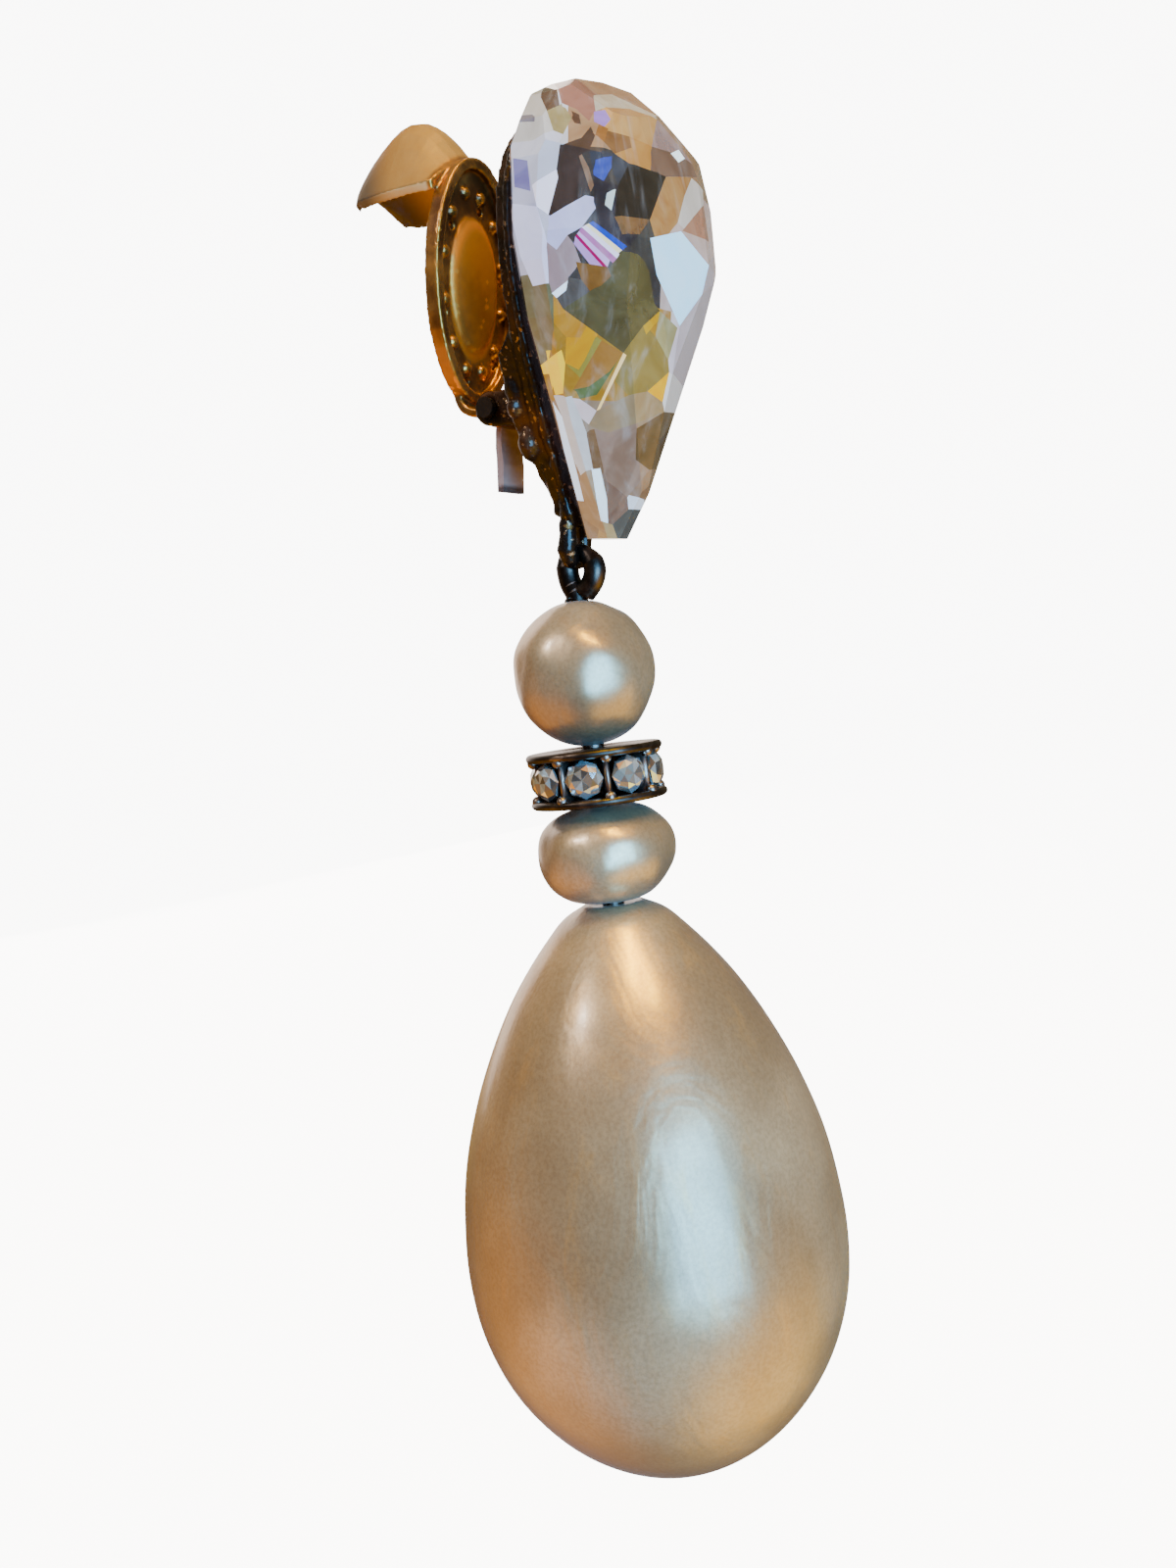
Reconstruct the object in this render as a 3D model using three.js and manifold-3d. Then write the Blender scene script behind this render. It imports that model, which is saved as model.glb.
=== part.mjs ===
// Clip-on drop earring: a cut pear crystal on a brass setting with a hinged clip behind it,
// and a hanging drop of two pearls, a rhinestone rondelle and one large pearl on an eye pin.
// Millimetres, +Z up, the crystal faces -Y. The origin is the middle of the ear lobe's place.

import * as THREE from "three";
import * as BufferGeometryUtils from "three/addons/utils/BufferGeometryUtils.js";
import Module from "manifold-3d";

const wasm = await Module();
wasm.setup();

// Crystal
const stoneWidth = 20;
const stoneHeight = 29.2;
const stoneTipWidth = 2.2;
const stoneTipDrop = 19; // from the origin down to the tip
const pavilionDepth = 1.0;
const girdleDepth = 1.7;
const crownHeight = 4.8;
const crownFoot = 2.6; // height above the girdle at which the main facets would meet the outline
const crownToe = 4.5; // the same for the long facet that runs down to the tip
const outlineSides = 26;
const outlineSlimness = 1.5; // 1 is a full pear, more is slimmer towards the tip
const outlineFullness = 0.76; // 1 is a round top, less is a fuller one
const pavilionTilt = 38; // degrees, as all the facet angles here
const starTilt = 12;
const girdleFacetTilt = 50;
const tipFacetTilt = 29;
const tipFacetRise = 0.6; // its lower edge above the girdle

// Setting behind the crystal
const lobeGap = 5.8; // between the pad and the bed of solder
const plateDepth = 1.4;
const bedDepth = 3; // the plate with the bed of solder on its lower part
const bedTopDrop = 7; // from the origin down to where the bed starts
const bedInset = 0.4; // the bed inside the plate's edge
const bedSlope = 40; // degrees, of the bed's upper end
const settingInset = 1.7;
const settingTipRise = 1.7;
const settingEdge = 0.5;
const glueGap = 0.25;
const solderSize = 1.3;
const tipDepth = 1.3; // the setting gets this thin towards its tip
const hangTilt = 9; // the weight of the drop leans the crystal and the clip forward

// Ring below the setting, and the eye of the pin that hangs in it
const ringWidth = 3.0;
const ringHeight = 4.0;
const ringWire = 0.8;
const ringLead = 1.0; // in front of the middle of the setting
const eyeWidth = 3.9;
const eyeSkew = 0.45; // the loop is bent out to the front
const eyeHeight = 4.1;
const eyeLead = 0.5; // the loop is bent this far in front of the shank
const pinWire = 0.7;
const eyeClearance = 0.12;

// Hinge of the clip
const hingeDrop = 9.8; // from the origin down to the hinge pin
const hingeBack = 0.2; // from the origin back to the hinge pin
const hingePinWire = 0.9;
const hingeClearance = 0.15;
const knuckleWall = 0.65;
const knuckleWidth = 3.6;
const bracketWall = 0.6;
const bracketSideGap = 0.25;
const bracketHeight = 3.4;
const earHeight = 2.6; // the bracket's two ears, round at their ends
const pinOverhang = 0.6;
const pinHead = 0.4;
const weld = 0.1; // soldered pieces sink into each other by this much

// Clip
const paddleHeight = 17.2;
const paddleWidth = 9.9;
const paddleDrop = 0.5; // middle of the paddle below the origin
const paddleSheet = 0.6;
const rimWidth = 0.8;
const rimHeight = 0.6;
const padWidth = 5.6;
const padHeight = 9.6;
const padRise = 0.7;
const bumpCount = 12;
const bumpSize = 0.5;
const punchWidth = 0.6;
const tabWidth = 8.8; // at its root, where it follows the paddle's outline
const tabTipWidth = 5.2;
const tabReach = 9.2;
const tabRise = 2.9; // of its ridge above the paddle
const tabCurl = 4.4; // of its tip below the ridge
const tabSideDrop = 2.8; // of its sides below the top of the paddle
const tabRootDrop = 0.7;
const tabSweep = 1.2; // the tip's corners in front of its middle
const tabSheet = 0.7;

// Spring leaf
const leafWidth = 2.6;
const leafSheet = 0.5;
const leafLength = 3.9;
const leafBend = 0.7;
const seatGap = 0.2;

// Hanging beads
const boreWidth = 1.2;
const upperPearlWidth = 10.2;
const upperPearlHeight = 10.4;
const rondelleWidth = 10;
const rondelleHeight = 4;
const flangeSheet = 0.6;
const barrelWidth = 5.0;
const chatonCount = 8;
const chatonStart = 0.44; // the first stone past +Y, as a share of the step between two stones
const chatonWidth = 2.5;
const chatonDepth = 1.9;
const chatonCrown = 0.6;
const chatonGirdle = 0.15;
const chatonRecess = 0.15; // face of the stone behind the ring's edge
const flangeChamfer = 0.25;
const lowerPearlWidth = 10.2;
const lowerPearlHeight = 7.1;
const dropWidth = 28.2;
const dropHeight = 42.4;
const dropBoreDepth = 9;

// Places that follow from the sizes
const settingBackY = -lobeGap / 2;
const settingFrontY = settingBackY - bedDepth;
const plateBackY = settingFrontY + plateDepth;
const stoneBackY = settingFrontY - glueGap;
const paddleFaceY = lobeGap / 2;
const ringY = settingBackY - bedDepth / 2 - ringLead;
const ringTopZ = -stoneTipDrop + settingTipRise + ringWire / 2;
const ringBottomWireZ = ringTopZ - ringHeight + ringWire / 2;
const tilt = THREE.MathUtils.degToRad(hangTilt);
const hangY = ringY * Math.cos(tilt) - ringBottomWireZ * Math.sin(tilt);
const hangZ = ringY * Math.sin(tilt) + ringBottomWireZ * Math.cos(tilt);
const stringY = hangY + eyeLead;
const eyeTopZ = hangZ + ringWire / 2 + eyeClearance + pinWire;
const upperPearlTopZ = eyeTopZ - eyeHeight;
const rondelleTopZ = upperPearlTopZ - upperPearlHeight - seatGap;
const lowerPearlTopZ = rondelleTopZ - rondelleHeight - seatGap;
const dropTopZ = lowerPearlTopZ - lowerPearlHeight - seatGap;

const brass = new THREE.MeshStandardMaterial({ color: 0x8a5a2a, roughness: 0.4, metalness: 1 });
const darkBrass = new THREE.MeshStandardMaterial({ color: 0x4a3222, roughness: 0.6, metalness: 1 });
const steel = new THREE.MeshStandardMaterial({ color: 0xc4a89a, roughness: 0.35, metalness: 1 });
const gunmetal = new THREE.MeshStandardMaterial({ color: 0x5a5148, roughness: 0.4, metalness: 1 });
const crystal = new THREE.MeshStandardMaterial({ color: 0xe8e4ea, roughness: 0.03, metalness: 0 });
const pearl = new THREE.MeshStandardMaterial({ color: 0xd9c3a3, roughness: 0.3, metalness: 0.1 });

const earring = new THREE.Group();
const leaning = new THREE.Group();
leaning.rotation.x = tilt;
earring.add(leaning);

function toSolid(geometry) {
  const bare = geometry.clone();
  bare.deleteAttribute("normal");
  bare.deleteAttribute("uv");
  const merged = BufferGeometryUtils.mergeVertices(bare, 1e-4);
  return new wasm.Manifold(new wasm.Mesh({
    numProp: 3,
    vertProperties: new Float32Array(merged.attributes.position.array),
    triVerts: new Uint32Array(merged.index.array),
  }));
}

function toGeometry(solid) {
  const mesh = solid.getMesh();
  const geometry = new THREE.BufferGeometry();
  geometry.setAttribute("position", new THREE.BufferAttribute(mesh.vertProperties, 3));
  geometry.setIndex(new THREE.BufferAttribute(mesh.triVerts, 1));
  geometry.computeVertexNormals();
  return geometry;
}

function addNode(name, shape, material, group = earring) {
  const geometry = shape.isBufferGeometry ? shape : toGeometry(shape);
  const mesh = new THREE.Mesh(geometry, material.clone());
  mesh.name = name;
  group.add(mesh);
}

function fuse(...geometries) {
  return geometries.map(toSolid).reduce((sum, solid) => sum.add(solid));
}

function box(width, depth, height, x, y, z) {
  return new THREE.BoxGeometry(width, depth, height).translate(x, y, z);
}

// A rod along X.
function rod(radius, length, y, z, sides = 16) {
  const geometry = new THREE.CylinderGeometry(radius, radius, length, sides);
  return geometry.rotateZ(Math.PI / 2).translate(0, y, z);
}

// A rod along Y, for holes through the sheet of the clip.
function drill(radius, length, x, y, z, sides = 10) {
  return new THREE.CylinderGeometry(radius, radius, length, sides).translate(x, y, z);
}

function blob(radiusX, radiusY, radiusZ, x, y, z, sides = 12) {
  const geometry = new THREE.SphereGeometry(1, sides, Math.round(sides * 0.6));
  return geometry.scale(radiusX, radiusY, radiusZ).translate(x, y, z);
}

// A flat outline in X and Z, made `depth` thick and standing forward from backY.
function plate(points, depth, backY) {
  const shape = new THREE.Shape(points);
  const geometry = new THREE.ExtrudeGeometry(shape, { depth, bevelEnabled: false, steps: 1 });
  return geometry.rotateX(Math.PI / 2).translate(0, backY, 0);
}

// A strip of sheet metal whose side view (Y, Z) follows a curve.
function strip(curve, thickness, width, steps) {
  const near = [];
  const far = [];
  for (let i = 0; i <= steps; i += 1) {
    const at = curve.getPoint(i / steps);
    const along = curve.getTangent(i / steps);
    const side = new THREE.Vector2(-along.y, along.x).multiplyScalar(thickness / 2);
    near.push(at.clone().add(side));
    far.unshift(at.clone().sub(side));
  }
  const shape = new THREE.Shape([...near, ...far]);
  const geometry = new THREE.ExtrudeGeometry(shape, { depth: width, bevelEnabled: false, steps: 1 });
  geometry.translate(0, 0, -width / 2);
  // Shape X becomes Y, shape Y becomes Z, depth becomes X.
  const turn = new THREE.Matrix4().makeBasis(
    new THREE.Vector3(0, 1, 0), new THREE.Vector3(0, 0, 1), new THREE.Vector3(1, 0, 0));
  return geometry.applyMatrix4(turn);
}

// A round wire along a curve.
function wire(curve, diameter, steps, sides = 8) {
  const section = new THREE.Shape();
  section.absarc(0, 0, diameter / 2, 0, Math.PI * 2);
  return new THREE.ExtrudeGeometry(section, {
    steps, extrudePath: curve, curveSegments: sides, bevelEnabled: false,
  });
}

function ellipse(width, height, sides) {
  return Array.from({ length: sides }, (_, i) => {
    const turn = (i / sides) * Math.PI * 2;
    return new THREE.Vector2(Math.cos(turn) * width / 2, Math.sin(turn) * height / 2);
  });
}

// Pear outline, point down, standing on its flat tip: 0 degrees is the tip, 180 the top.
function pearSwell(degrees) {
  const t = THREE.MathUtils.degToRad((degrees + 360) % 360);
  const swell = Math.abs(Math.sin(t)) ** outlineFullness * Math.sin(t / 2) ** outlineSlimness;
  return t > Math.PI ? -swell : swell;
}

const pearPeak = Math.max(...Array.from({ length: 180 }, (_, degrees) => pearSwell(degrees)));

function pearShare(degrees) {
  const t = THREE.MathUtils.degToRad(degrees);
  return { side: pearSwell(degrees) / pearPeak, up: (1 - Math.cos(t)) / 2 };
}

function tipDegrees(pear) {
  let degrees = 1;
  while (pearShare(degrees).side < pear.tipWidth / pear.width) degrees += 0.5;
  return degrees;
}

function pearPoint(degrees, pear) {
  const missing = pearShare(tipDegrees(pear)).up;
  const { side, up } = pearShare(degrees);
  return new THREE.Vector2(side * pear.width / 2, pear.height * (up - missing) / (1 - missing));
}

function pearOutline(pear, sides) {
  const start = tipDegrees(pear);
  const step = (360 - 2 * start) / (sides - 1);
  return Array.from({ length: sides }, (_, i) => pearPoint(start + i * step, pear));
}

const stonePear = { width: stoneWidth, height: stoneHeight, tipWidth: stoneTipWidth };

// The crystal, cut from a pear-shaped slab by one plane for each facet.
// Corners of the table as shares of half the width and of the height from the tip,
// the place on the outline, in degrees, that each main facet runs down to, and its height there.
const tableCorners = [
  { side: 0, up: 0.68, anchor: 180, rise: crownFoot },
  { side: 0.41, up: 0.635, anchor: 128, rise: crownFoot },
  { side: 0.32, up: 0.565, anchor: 86, rise: crownFoot },
  { side: 0, up: 0.475, anchor: 0, rise: crownToe },
  { side: -0.32, up: 0.565, anchor: 274, rise: crownFoot },
  { side: -0.41, up: 0.635, anchor: 232, rise: crownFoot },
];

function cutFacet(solid, point, normal) {
  const size = stoneHeight * 3;
  const turn = new THREE.Quaternion().setFromUnitVectors(new THREE.Vector3(0, 0, 1), normal);
  const tool = new THREE.BoxGeometry(size, size, size).translate(0, 0, size / 2);
  tool.applyQuaternion(turn).translate(point.x, point.y, point.z);
  return solid.subtract(toSolid(tool));
}

function facetNormal(outward, degrees) {
  const tilt = THREE.MathUtils.degToRad(degrees);
  const flat = outward.clone().normalize().multiplyScalar(Math.sin(tilt));
  return new THREE.Vector3(flat.x, flat.y, Math.cos(tilt));
}

function outwardAt(degrees) {
  const before = pearPoint(degrees - 2, stonePear);
  const after = pearPoint(degrees + 2, stonePear);
  const along = after.sub(before);
  return new THREE.Vector2(along.y, -along.x);
}

function makeStone() {
  const outline = pearOutline(stonePear, outlineSides);
  const tableDepth = pavilionDepth + girdleDepth + crownHeight;
  const girdleFront = pavilionDepth + girdleDepth;
  const slab = new THREE.ExtrudeGeometry(new THREE.Shape(outline),
    { depth: tableDepth, bevelEnabled: false, steps: 1 });
  let solid = toSolid(slab);
  const corners = tableCorners.map(({ side, up, anchor, rise }) => ({
    at: new THREE.Vector2(side * stoneWidth / 2, up * stoneHeight),
    foot: pearPoint(anchor, stonePear),
    anchor,
    rise,
  }));
  corners.forEach((corner, i) => {
    const next = corners[(i + 1) % corners.length];
    const run = corner.foot.clone().sub(corner.at);
    const mainTilt = THREE.MathUtils.radToDeg(Math.atan2(crownHeight - corner.rise, run.length()));
    const top = new THREE.Vector3(corner.at.x, corner.at.y, tableDepth);
    solid = cutFacet(solid, top, facetNormal(run, mainTilt));

    const edge = next.at.clone().sub(corner.at);
    solid = cutFacet(solid, top, facetNormal(new THREE.Vector2(-edge.y, edge.x), starTilt));

    const span = ((corner.anchor - next.anchor + 360) % 360) || 360;
    for (const share of [0.25, 0.75]) {
      const degrees = corner.anchor - span * share;
      const rim = pearPoint(degrees, stonePear);
      const outward = outwardAt(degrees);
      const front = new THREE.Vector3(rim.x, rim.y, girdleFront);
      solid = cutFacet(solid, front, facetNormal(outward, girdleFacetTilt));
      const back = new THREE.Vector3(rim.x, rim.y, pavilionDepth);
      const backNormal = facetNormal(outward, pavilionTilt);
      backNormal.z *= -1;
      solid = cutFacet(solid, back, backNormal);
    }
  });
  solid = cutFacet(solid, new THREE.Vector3(0, 0, girdleFront + tipFacetRise),
    facetNormal(new THREE.Vector2(0, -1), tipFacetTilt));
  const geometry = toGeometry(solid);
  return geometry.rotateX(Math.PI / 2).translate(0, stoneBackY, -stoneTipDrop);
}

// The brass setting: a smaller pear plate, its solder, the ring below and the hinge's bracket.
// Lumps of solder as shares of half the width and of the height from the tip.
const solderLumps = [
  { side: -0.5, up: 0.33, size: 1.0 },
  { side: 0.46, up: 0.34, size: 0.9 },
  { side: -0.34, up: 0.19, size: 1.1 },
  { side: 0.33, up: 0.22, size: 1.0 },
  { side: -0.08, up: 0.12, size: 1.2 },
  { side: -0.5, up: 0.28, size: 0.7 },
  { side: 0.2, up: 0.3, size: 0.8 },
];

function ringCurve() {
  const radius = (ringWidth - ringWire) / 2;
  const straight = (ringHeight - ringWire) / 2 - radius;
  const middle = ringTopZ - ringHeight / 2;
  const points = [];
  const steps = 8;
  for (let i = 0; i < steps * 2; i += 1) {
    const turn = (i / (steps * 2)) * Math.PI * 2;
    const lift = Math.sign(Math.round(Math.sin(turn) * 1e6)) * straight;
    points.push(new THREE.Vector3(
      Math.cos(turn) * radius, ringY, middle + Math.sin(turn) * radius + lift));
  }
  return new THREE.CatmullRomCurve3(points, true);
}

function closedWire(curve, diameter, steps, sides) {
  // Two half turns whose ends run a little into each other.
  const half = (from) => {
    const points = Array.from({ length: steps + 1 }, (_, i) =>
      curve.getPoint((from + (i / steps) * 0.52) % 1));
    return wire(new THREE.CatmullRomCurve3(points), diameter, steps, sides);
  };
  return toSolid(half(0)).add(toSolid(half(0.5)));
}

const taperTopZ = -hingeDrop - bracketHeight / 2;
const taperTilt = Math.atan2(bedDepth - tipDepth, stoneTipDrop - settingTipRise + taperTopZ);

function bedBackAt(z) {
  return settingBackY - Math.max(0, taperTopZ - z) * Math.tan(taperTilt);
}

function settingOutline(grow) {
  const inset = settingInset - grow;
  const pear = {
    width: stoneWidth - 2 * inset,
    height: stoneHeight - inset - settingTipRise + grow,
    tipWidth: stoneTipWidth,
  };
  const tipZ = -stoneTipDrop + settingTipRise - grow;
  return pearOutline(pear, outlineSides).map(({ x, y }) => new THREE.Vector2(x, y + tipZ));
}

function makeBed() {
  const slope = THREE.MathUtils.degToRad(bedSlope);
  const slab = toSolid(plate(settingOutline(-bedInset), bedDepth - weld, settingBackY));
  const tapered = cutFacet(slab, new THREE.Vector3(0, settingBackY, taperTopZ),
    new THREE.Vector3(0, Math.cos(taperTilt), -Math.sin(taperTilt)));
  return cutFacet(tapered, new THREE.Vector3(0, settingBackY, -bedTopDrop),
    new THREE.Vector3(0, Math.cos(slope), Math.sin(slope)));
}

function makeSetting() {
  const width = stoneWidth - 2 * settingInset;
  const height = stoneHeight - settingInset - settingTipRise;
  const lift = -stoneTipDrop + settingTipRise;
  let solid = toSolid(plate(settingOutline(0), plateDepth, plateBackY));
  solid = solid.add(toSolid(plate(settingOutline(settingEdge), settingEdge, settingFrontY + settingEdge)));
  solid = solid.add(makeBed());
  for (const { side, up, size } of solderLumps) {
    const radius = size * solderSize;
    const z = up * height + lift;
    solid = solid.add(toSolid(blob(radius, radius * 0.7, radius,
      side * width / 2, bedBackAt(z) - radius * 0.45, z)));
  }
  solid = solid.add(closedWire(ringCurve(), ringWire, 12, 8));
  return solid.add(makeBracket());
}

function makeBracket() {
  const inside = knuckleWidth + 2 * bracketSideGap;
  const reach = hingeBack - settingBackY + weld;
  const hingeZ = -hingeDrop;
  let solid = toSolid(box(inside + 2 * bracketWall, bracketWall, bracketHeight,
    0, settingBackY + bracketWall / 2 - weld, hingeZ));
  for (const side of [-1, 1]) {
    const x = side * (inside + bracketWall) / 2;
    const ear = box(bracketWall, reach, earHeight, x, hingeBack - reach / 2, hingeZ);
    const tip = rod(earHeight / 2, bracketWall, hingeBack, hingeZ).translate(x, 0, 0);
    solid = solid.add(fuse(ear, tip));
  }
  const bore = rod(hingePinWire / 2 + hingeClearance, inside * 2, hingeBack, hingeZ);
  return solid.subtract(toSolid(bore));
}

function makeHingePin() {
  const length = knuckleWidth + 2 * (bracketSideGap + bracketWall);
  const shank = rod(hingePinWire / 2, length + 2 * pinOverhang, hingeBack, -hingeDrop);
  const heads = [-1, 1].map((side) =>
    rod(hingePinWire * 0.8, pinHead, hingeBack, -hingeDrop)
      .translate(side * (length / 2 + pinOverhang - pinHead / 2), 0, 0));
  return fuse(shank, ...heads);
}

function makeSpringLeaf() {
  const backY = settingBackY + bracketWall + seatGap;
  const knuckleBottomZ = -hingeDrop - hingePinWire / 2 - hingeClearance - knuckleWall;
  const topZ = knuckleBottomZ - seatGap - 0.8 * leafSheet;
  const bend = new THREE.Vector2(hingeBack, topZ);
  const before = new THREE.Vector2(hingeBack - leafBend, topZ);
  const after = new THREE.Vector2(hingeBack, topZ - leafBend);
  const curve = new THREE.CurvePath();
  curve.add(new THREE.LineCurve(new THREE.Vector2(backY, topZ), before));
  curve.add(new THREE.QuadraticBezierCurve(before, bend, after));
  curve.add(new THREE.LineCurve(after, new THREE.Vector2(hingeBack, topZ - leafLength)));
  return toSolid(strip(curve, leafSheet, leafWidth, 24));
}

// The clip: an oval dished paddle with a rim, a raised pad, a ring of punched bumps,
// a thumb tab curled back at the top and a knuckle on the hinge pin at the bottom.
function makeClip() {
  const sheetFrontY = paddleFaceY + rimHeight;
  const sheetBackY = sheetFrontY + paddleSheet;
  let solid = toSolid(plate(ellipse(paddleWidth, paddleHeight, 40), paddleSheet, sheetBackY));
  const rim = toSolid(plate(ellipse(paddleWidth, paddleHeight, 40), rimHeight + weld, sheetFrontY + weld))
    .subtract(toSolid(plate(ellipse(paddleWidth - 2 * rimWidth, paddleHeight - 2 * rimWidth, 40),
      rimHeight * 4, sheetFrontY + 2 * weld)));
  solid = solid.add(rim);
  const pad = blob(padWidth / 2, padRise, padHeight / 2, 0, sheetFrontY, 0, 20);
  solid = solid.add(toSolid(pad));
  const trackWidth = (padWidth + paddleWidth) / 2 - rimWidth;
  const trackHeight = (padHeight + paddleHeight) / 2 - rimWidth;
  for (let i = 0; i < bumpCount; i += 1) {
    const turn = ((i + 0.5) / bumpCount) * Math.PI * 2;
    const x = Math.cos(turn) * trackWidth / 2;
    const z = Math.sin(turn) * trackHeight / 2;
    solid = solid.add(toSolid(blob(bumpSize, bumpSize * 0.8, bumpSize, x, sheetFrontY, z, 10)));
    if (i % 2 === 0) {
      const off = bumpSize + punchWidth * 0.7;
      solid = solid.subtract(toSolid(drill(punchWidth / 2, paddleSheet * 4, x, sheetFrontY, z - off)));
    }
  }
  solid = solid.add(makeTab(sheetBackY)).translate([0, 0, -paddleDrop]);
  return solid.add(makeKnuckle(sheetBackY));
}

// A bent sheet: place(along, across) gives the middle of the sheet for 0..1 and -1..1.
function bentSheet(place, thickness, alongSteps, acrossSteps) {
  const geometry = new THREE.BoxGeometry(1, 2, 1, alongSteps, acrossSteps, 1);
  const position = geometry.attributes.position;
  for (let i = 0; i < position.count; i += 1) {
    const along = position.getX(i) + 0.5;
    const across = position.getY(i);
    const at = place(along, across);
    const ahead = place(along + 0.01, across).sub(place(along - 0.01, across));
    const aside = place(along, across + 0.01).sub(place(along, across - 0.01));
    const face = ahead.cross(aside).normalize();
    at.addScaledVector(face, position.getZ(i) * thickness);
    position.setXYZ(i, at.x, at.y, at.z);
  }
  return geometry;
}

function makeTab(sheetBackY) {
  const rootY = sheetBackY - tabSheet / 2;
  const rootZ = paddleHeight / 2 - tabRootDrop;
  const peakZ = paddleHeight / 2 + tabRise;
  const sideZ = paddleHeight / 2 - tabSideDrop;
  const ridge = new THREE.SplineCurve([
    new THREE.Vector2(rootY, rootZ),
    new THREE.Vector2(rootY + tabReach * 0.12, rootZ + (peakZ - rootZ) * 0.35),
    new THREE.Vector2(rootY + tabReach * 0.28, rootZ + (peakZ - rootZ) * 0.78),
    new THREE.Vector2(rootY + tabReach * 0.5, peakZ),
    new THREE.Vector2(rootY + tabReach * 0.72, peakZ - tabCurl * 0.22),
    new THREE.Vector2(rootY + tabReach * 0.92, peakZ - tabCurl * 0.62),
    new THREE.Vector2(rootY + tabReach, peakZ - tabCurl),
  ]);
  const place = (along, across) => {
    const held = THREE.MathUtils.clamp(along, 0, 1);
    const at = ridge.getPoint(held);
    const half = THREE.MathUtils.lerp(tabWidth, tabTipWidth, along ** 2) / 2;
    const aside = Math.min(1, Math.abs(across));
    const arch = 1 - Math.cos(aside * Math.PI / 2);
    const y = at.x + (along - held) - tabSweep * along ** 2 * aside ** 2;
    return new THREE.Vector3(across * half, y, THREE.MathUtils.lerp(at.y, sideZ, arch));
  };
  return toSolid(bentSheet(place, tabSheet, 16, 10));
}

function makeKnuckle(sheetBackY) {
  const hingeZ = -hingeDrop;
  const outer = hingePinWire / 2 + hingeClearance + knuckleWall;
  const arm = new THREE.QuadraticBezierCurve(
    new THREE.Vector2(hingeBack + outer * 0.6, hingeZ),
    new THREE.Vector2(sheetBackY - paddleSheet / 2, hingeZ - paddleSheet),
    new THREE.Vector2(sheetBackY - paddleSheet / 2, -paddleDrop - paddleHeight / 2 + 2 * paddleSheet));
  const solid = fuse(rod(outer, knuckleWidth, hingeBack, hingeZ, 20),
    strip(arm, paddleSheet, knuckleWidth, 10));
  const bore = rod(hingePinWire / 2 + hingeClearance, knuckleWidth * 2, hingeBack, hingeZ);
  return solid.subtract(toSolid(bore));
}

// The eye pin: a teardrop loop in the Y-Z plane and a straight shank down into the drop.
function makeEyePin() {
  const top = eyeTopZ - pinWire / 2;
  const halfWide = (eyeWidth - pinWire) / 2;
  const tall = eyeHeight - pinWire / 2;
  const lead = eyeLead / halfWide;
  const points = [
    [lead, -1], [lead + 0.06, -0.86], [0.92, -0.62], [1, -0.38], [0.66, -0.1],
    [0, 0], [-0.66, -0.1], [-1, -0.38], [-0.85, -0.62], [-0.3, -0.83],
  ].map(([side, down]) => {
    const skew = eyeSkew * Math.sin(Math.PI * -down);
    return new THREE.Vector3(0, hangY + side * halfWide - skew, top + down * tall);
  });
  const loop = wire(new THREE.CatmullRomCurve3(points), pinWire, 34, 8);
  const bottom = dropTopZ - dropBoreDepth + seatGap;
  const length = upperPearlTopZ + seatGap - bottom;
  const shank = new THREE.CylinderGeometry(pinWire / 2, pinWire / 2, length, 12);
  shank.rotateX(Math.PI / 2).translate(0, stringY, bottom + length / 2);
  return fuse(loop, shank);
}

// A turned body about the Z axis through the pin, from (radius, height) pairs.
function turned(points, sides) {
  const geometry = new THREE.LatheGeometry(points, sides);
  return geometry.rotateX(Math.PI / 2).translate(0, stringY, 0);
}

function drilledBead(width, height, topZ, rows, sides) {
  const bore = boreWidth / 2;
  const start = Math.asin(bore / (width / 2));
  const points = [];
  for (let i = 0; i <= rows; i += 1) {
    const turn = start + (i / rows) * (Math.PI - 2 * start);
    points.push(new THREE.Vector2(
      Math.sin(turn) * width / 2, topZ - height / 2 - Math.cos(turn) * height / 2));
  }
  points[0].x = bore;
  points[rows].x = bore;
  points.push(points[0].clone());
  return turned(points, sides);
}

// Gentle lumps of a baroque pearl: each pushes the skin in or out round one direction.
function lumpy(geometry, lumps, middleZ, size) {
  const position = geometry.attributes.position;
  const at = new THREE.Vector3();
  const middle = new THREE.Vector3(0, stringY, middleZ);
  for (let i = 0; i < position.count; i += 1) {
    at.fromBufferAttribute(position, i).sub(middle);
    const radius = Math.hypot(at.x, at.y);
    const clear = THREE.MathUtils.smoothstep(radius, boreWidth / 2 + 0.01, size * 0.3);
    const direction = at.clone().normalize();
    let push = 0;
    for (const { x, y, z, depth, spread } of lumps) {
      const away = direction.distanceTo(new THREE.Vector3(x, y, z).normalize());
      push += depth * size * Math.exp(-((away / spread) ** 2));
    }
    at.addScaledVector(direction, push * clear).add(middle);
    position.setXYZ(i, at.x, at.y, at.z);
  }
  return geometry;
}

const upperPearlLumps = [
  { x: -0.6, y: -0.6, z: -0.5, depth: 0.02, spread: 0.6 },
  { x: 0.9, y: -0.3, z: 0.3, depth: 0.018, spread: 0.5 },
  { x: -0.2, y: -0.9, z: 0.55, depth: -0.02, spread: 0.4 },
  { x: 0.2, y: 0.9, z: -0.1, depth: -0.015, spread: 0.5 },
];
const lowerPearlLumps = [
  { x: -0.8, y: -0.4, z: 0.2, depth: 0.02, spread: 0.5 },
  { x: 0.3, y: -0.9, z: -0.4, depth: -0.02, spread: 0.45 },
  { x: 0.6, y: 0.7, z: 0.1, depth: 0.015, spread: 0.5 },
];

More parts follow.
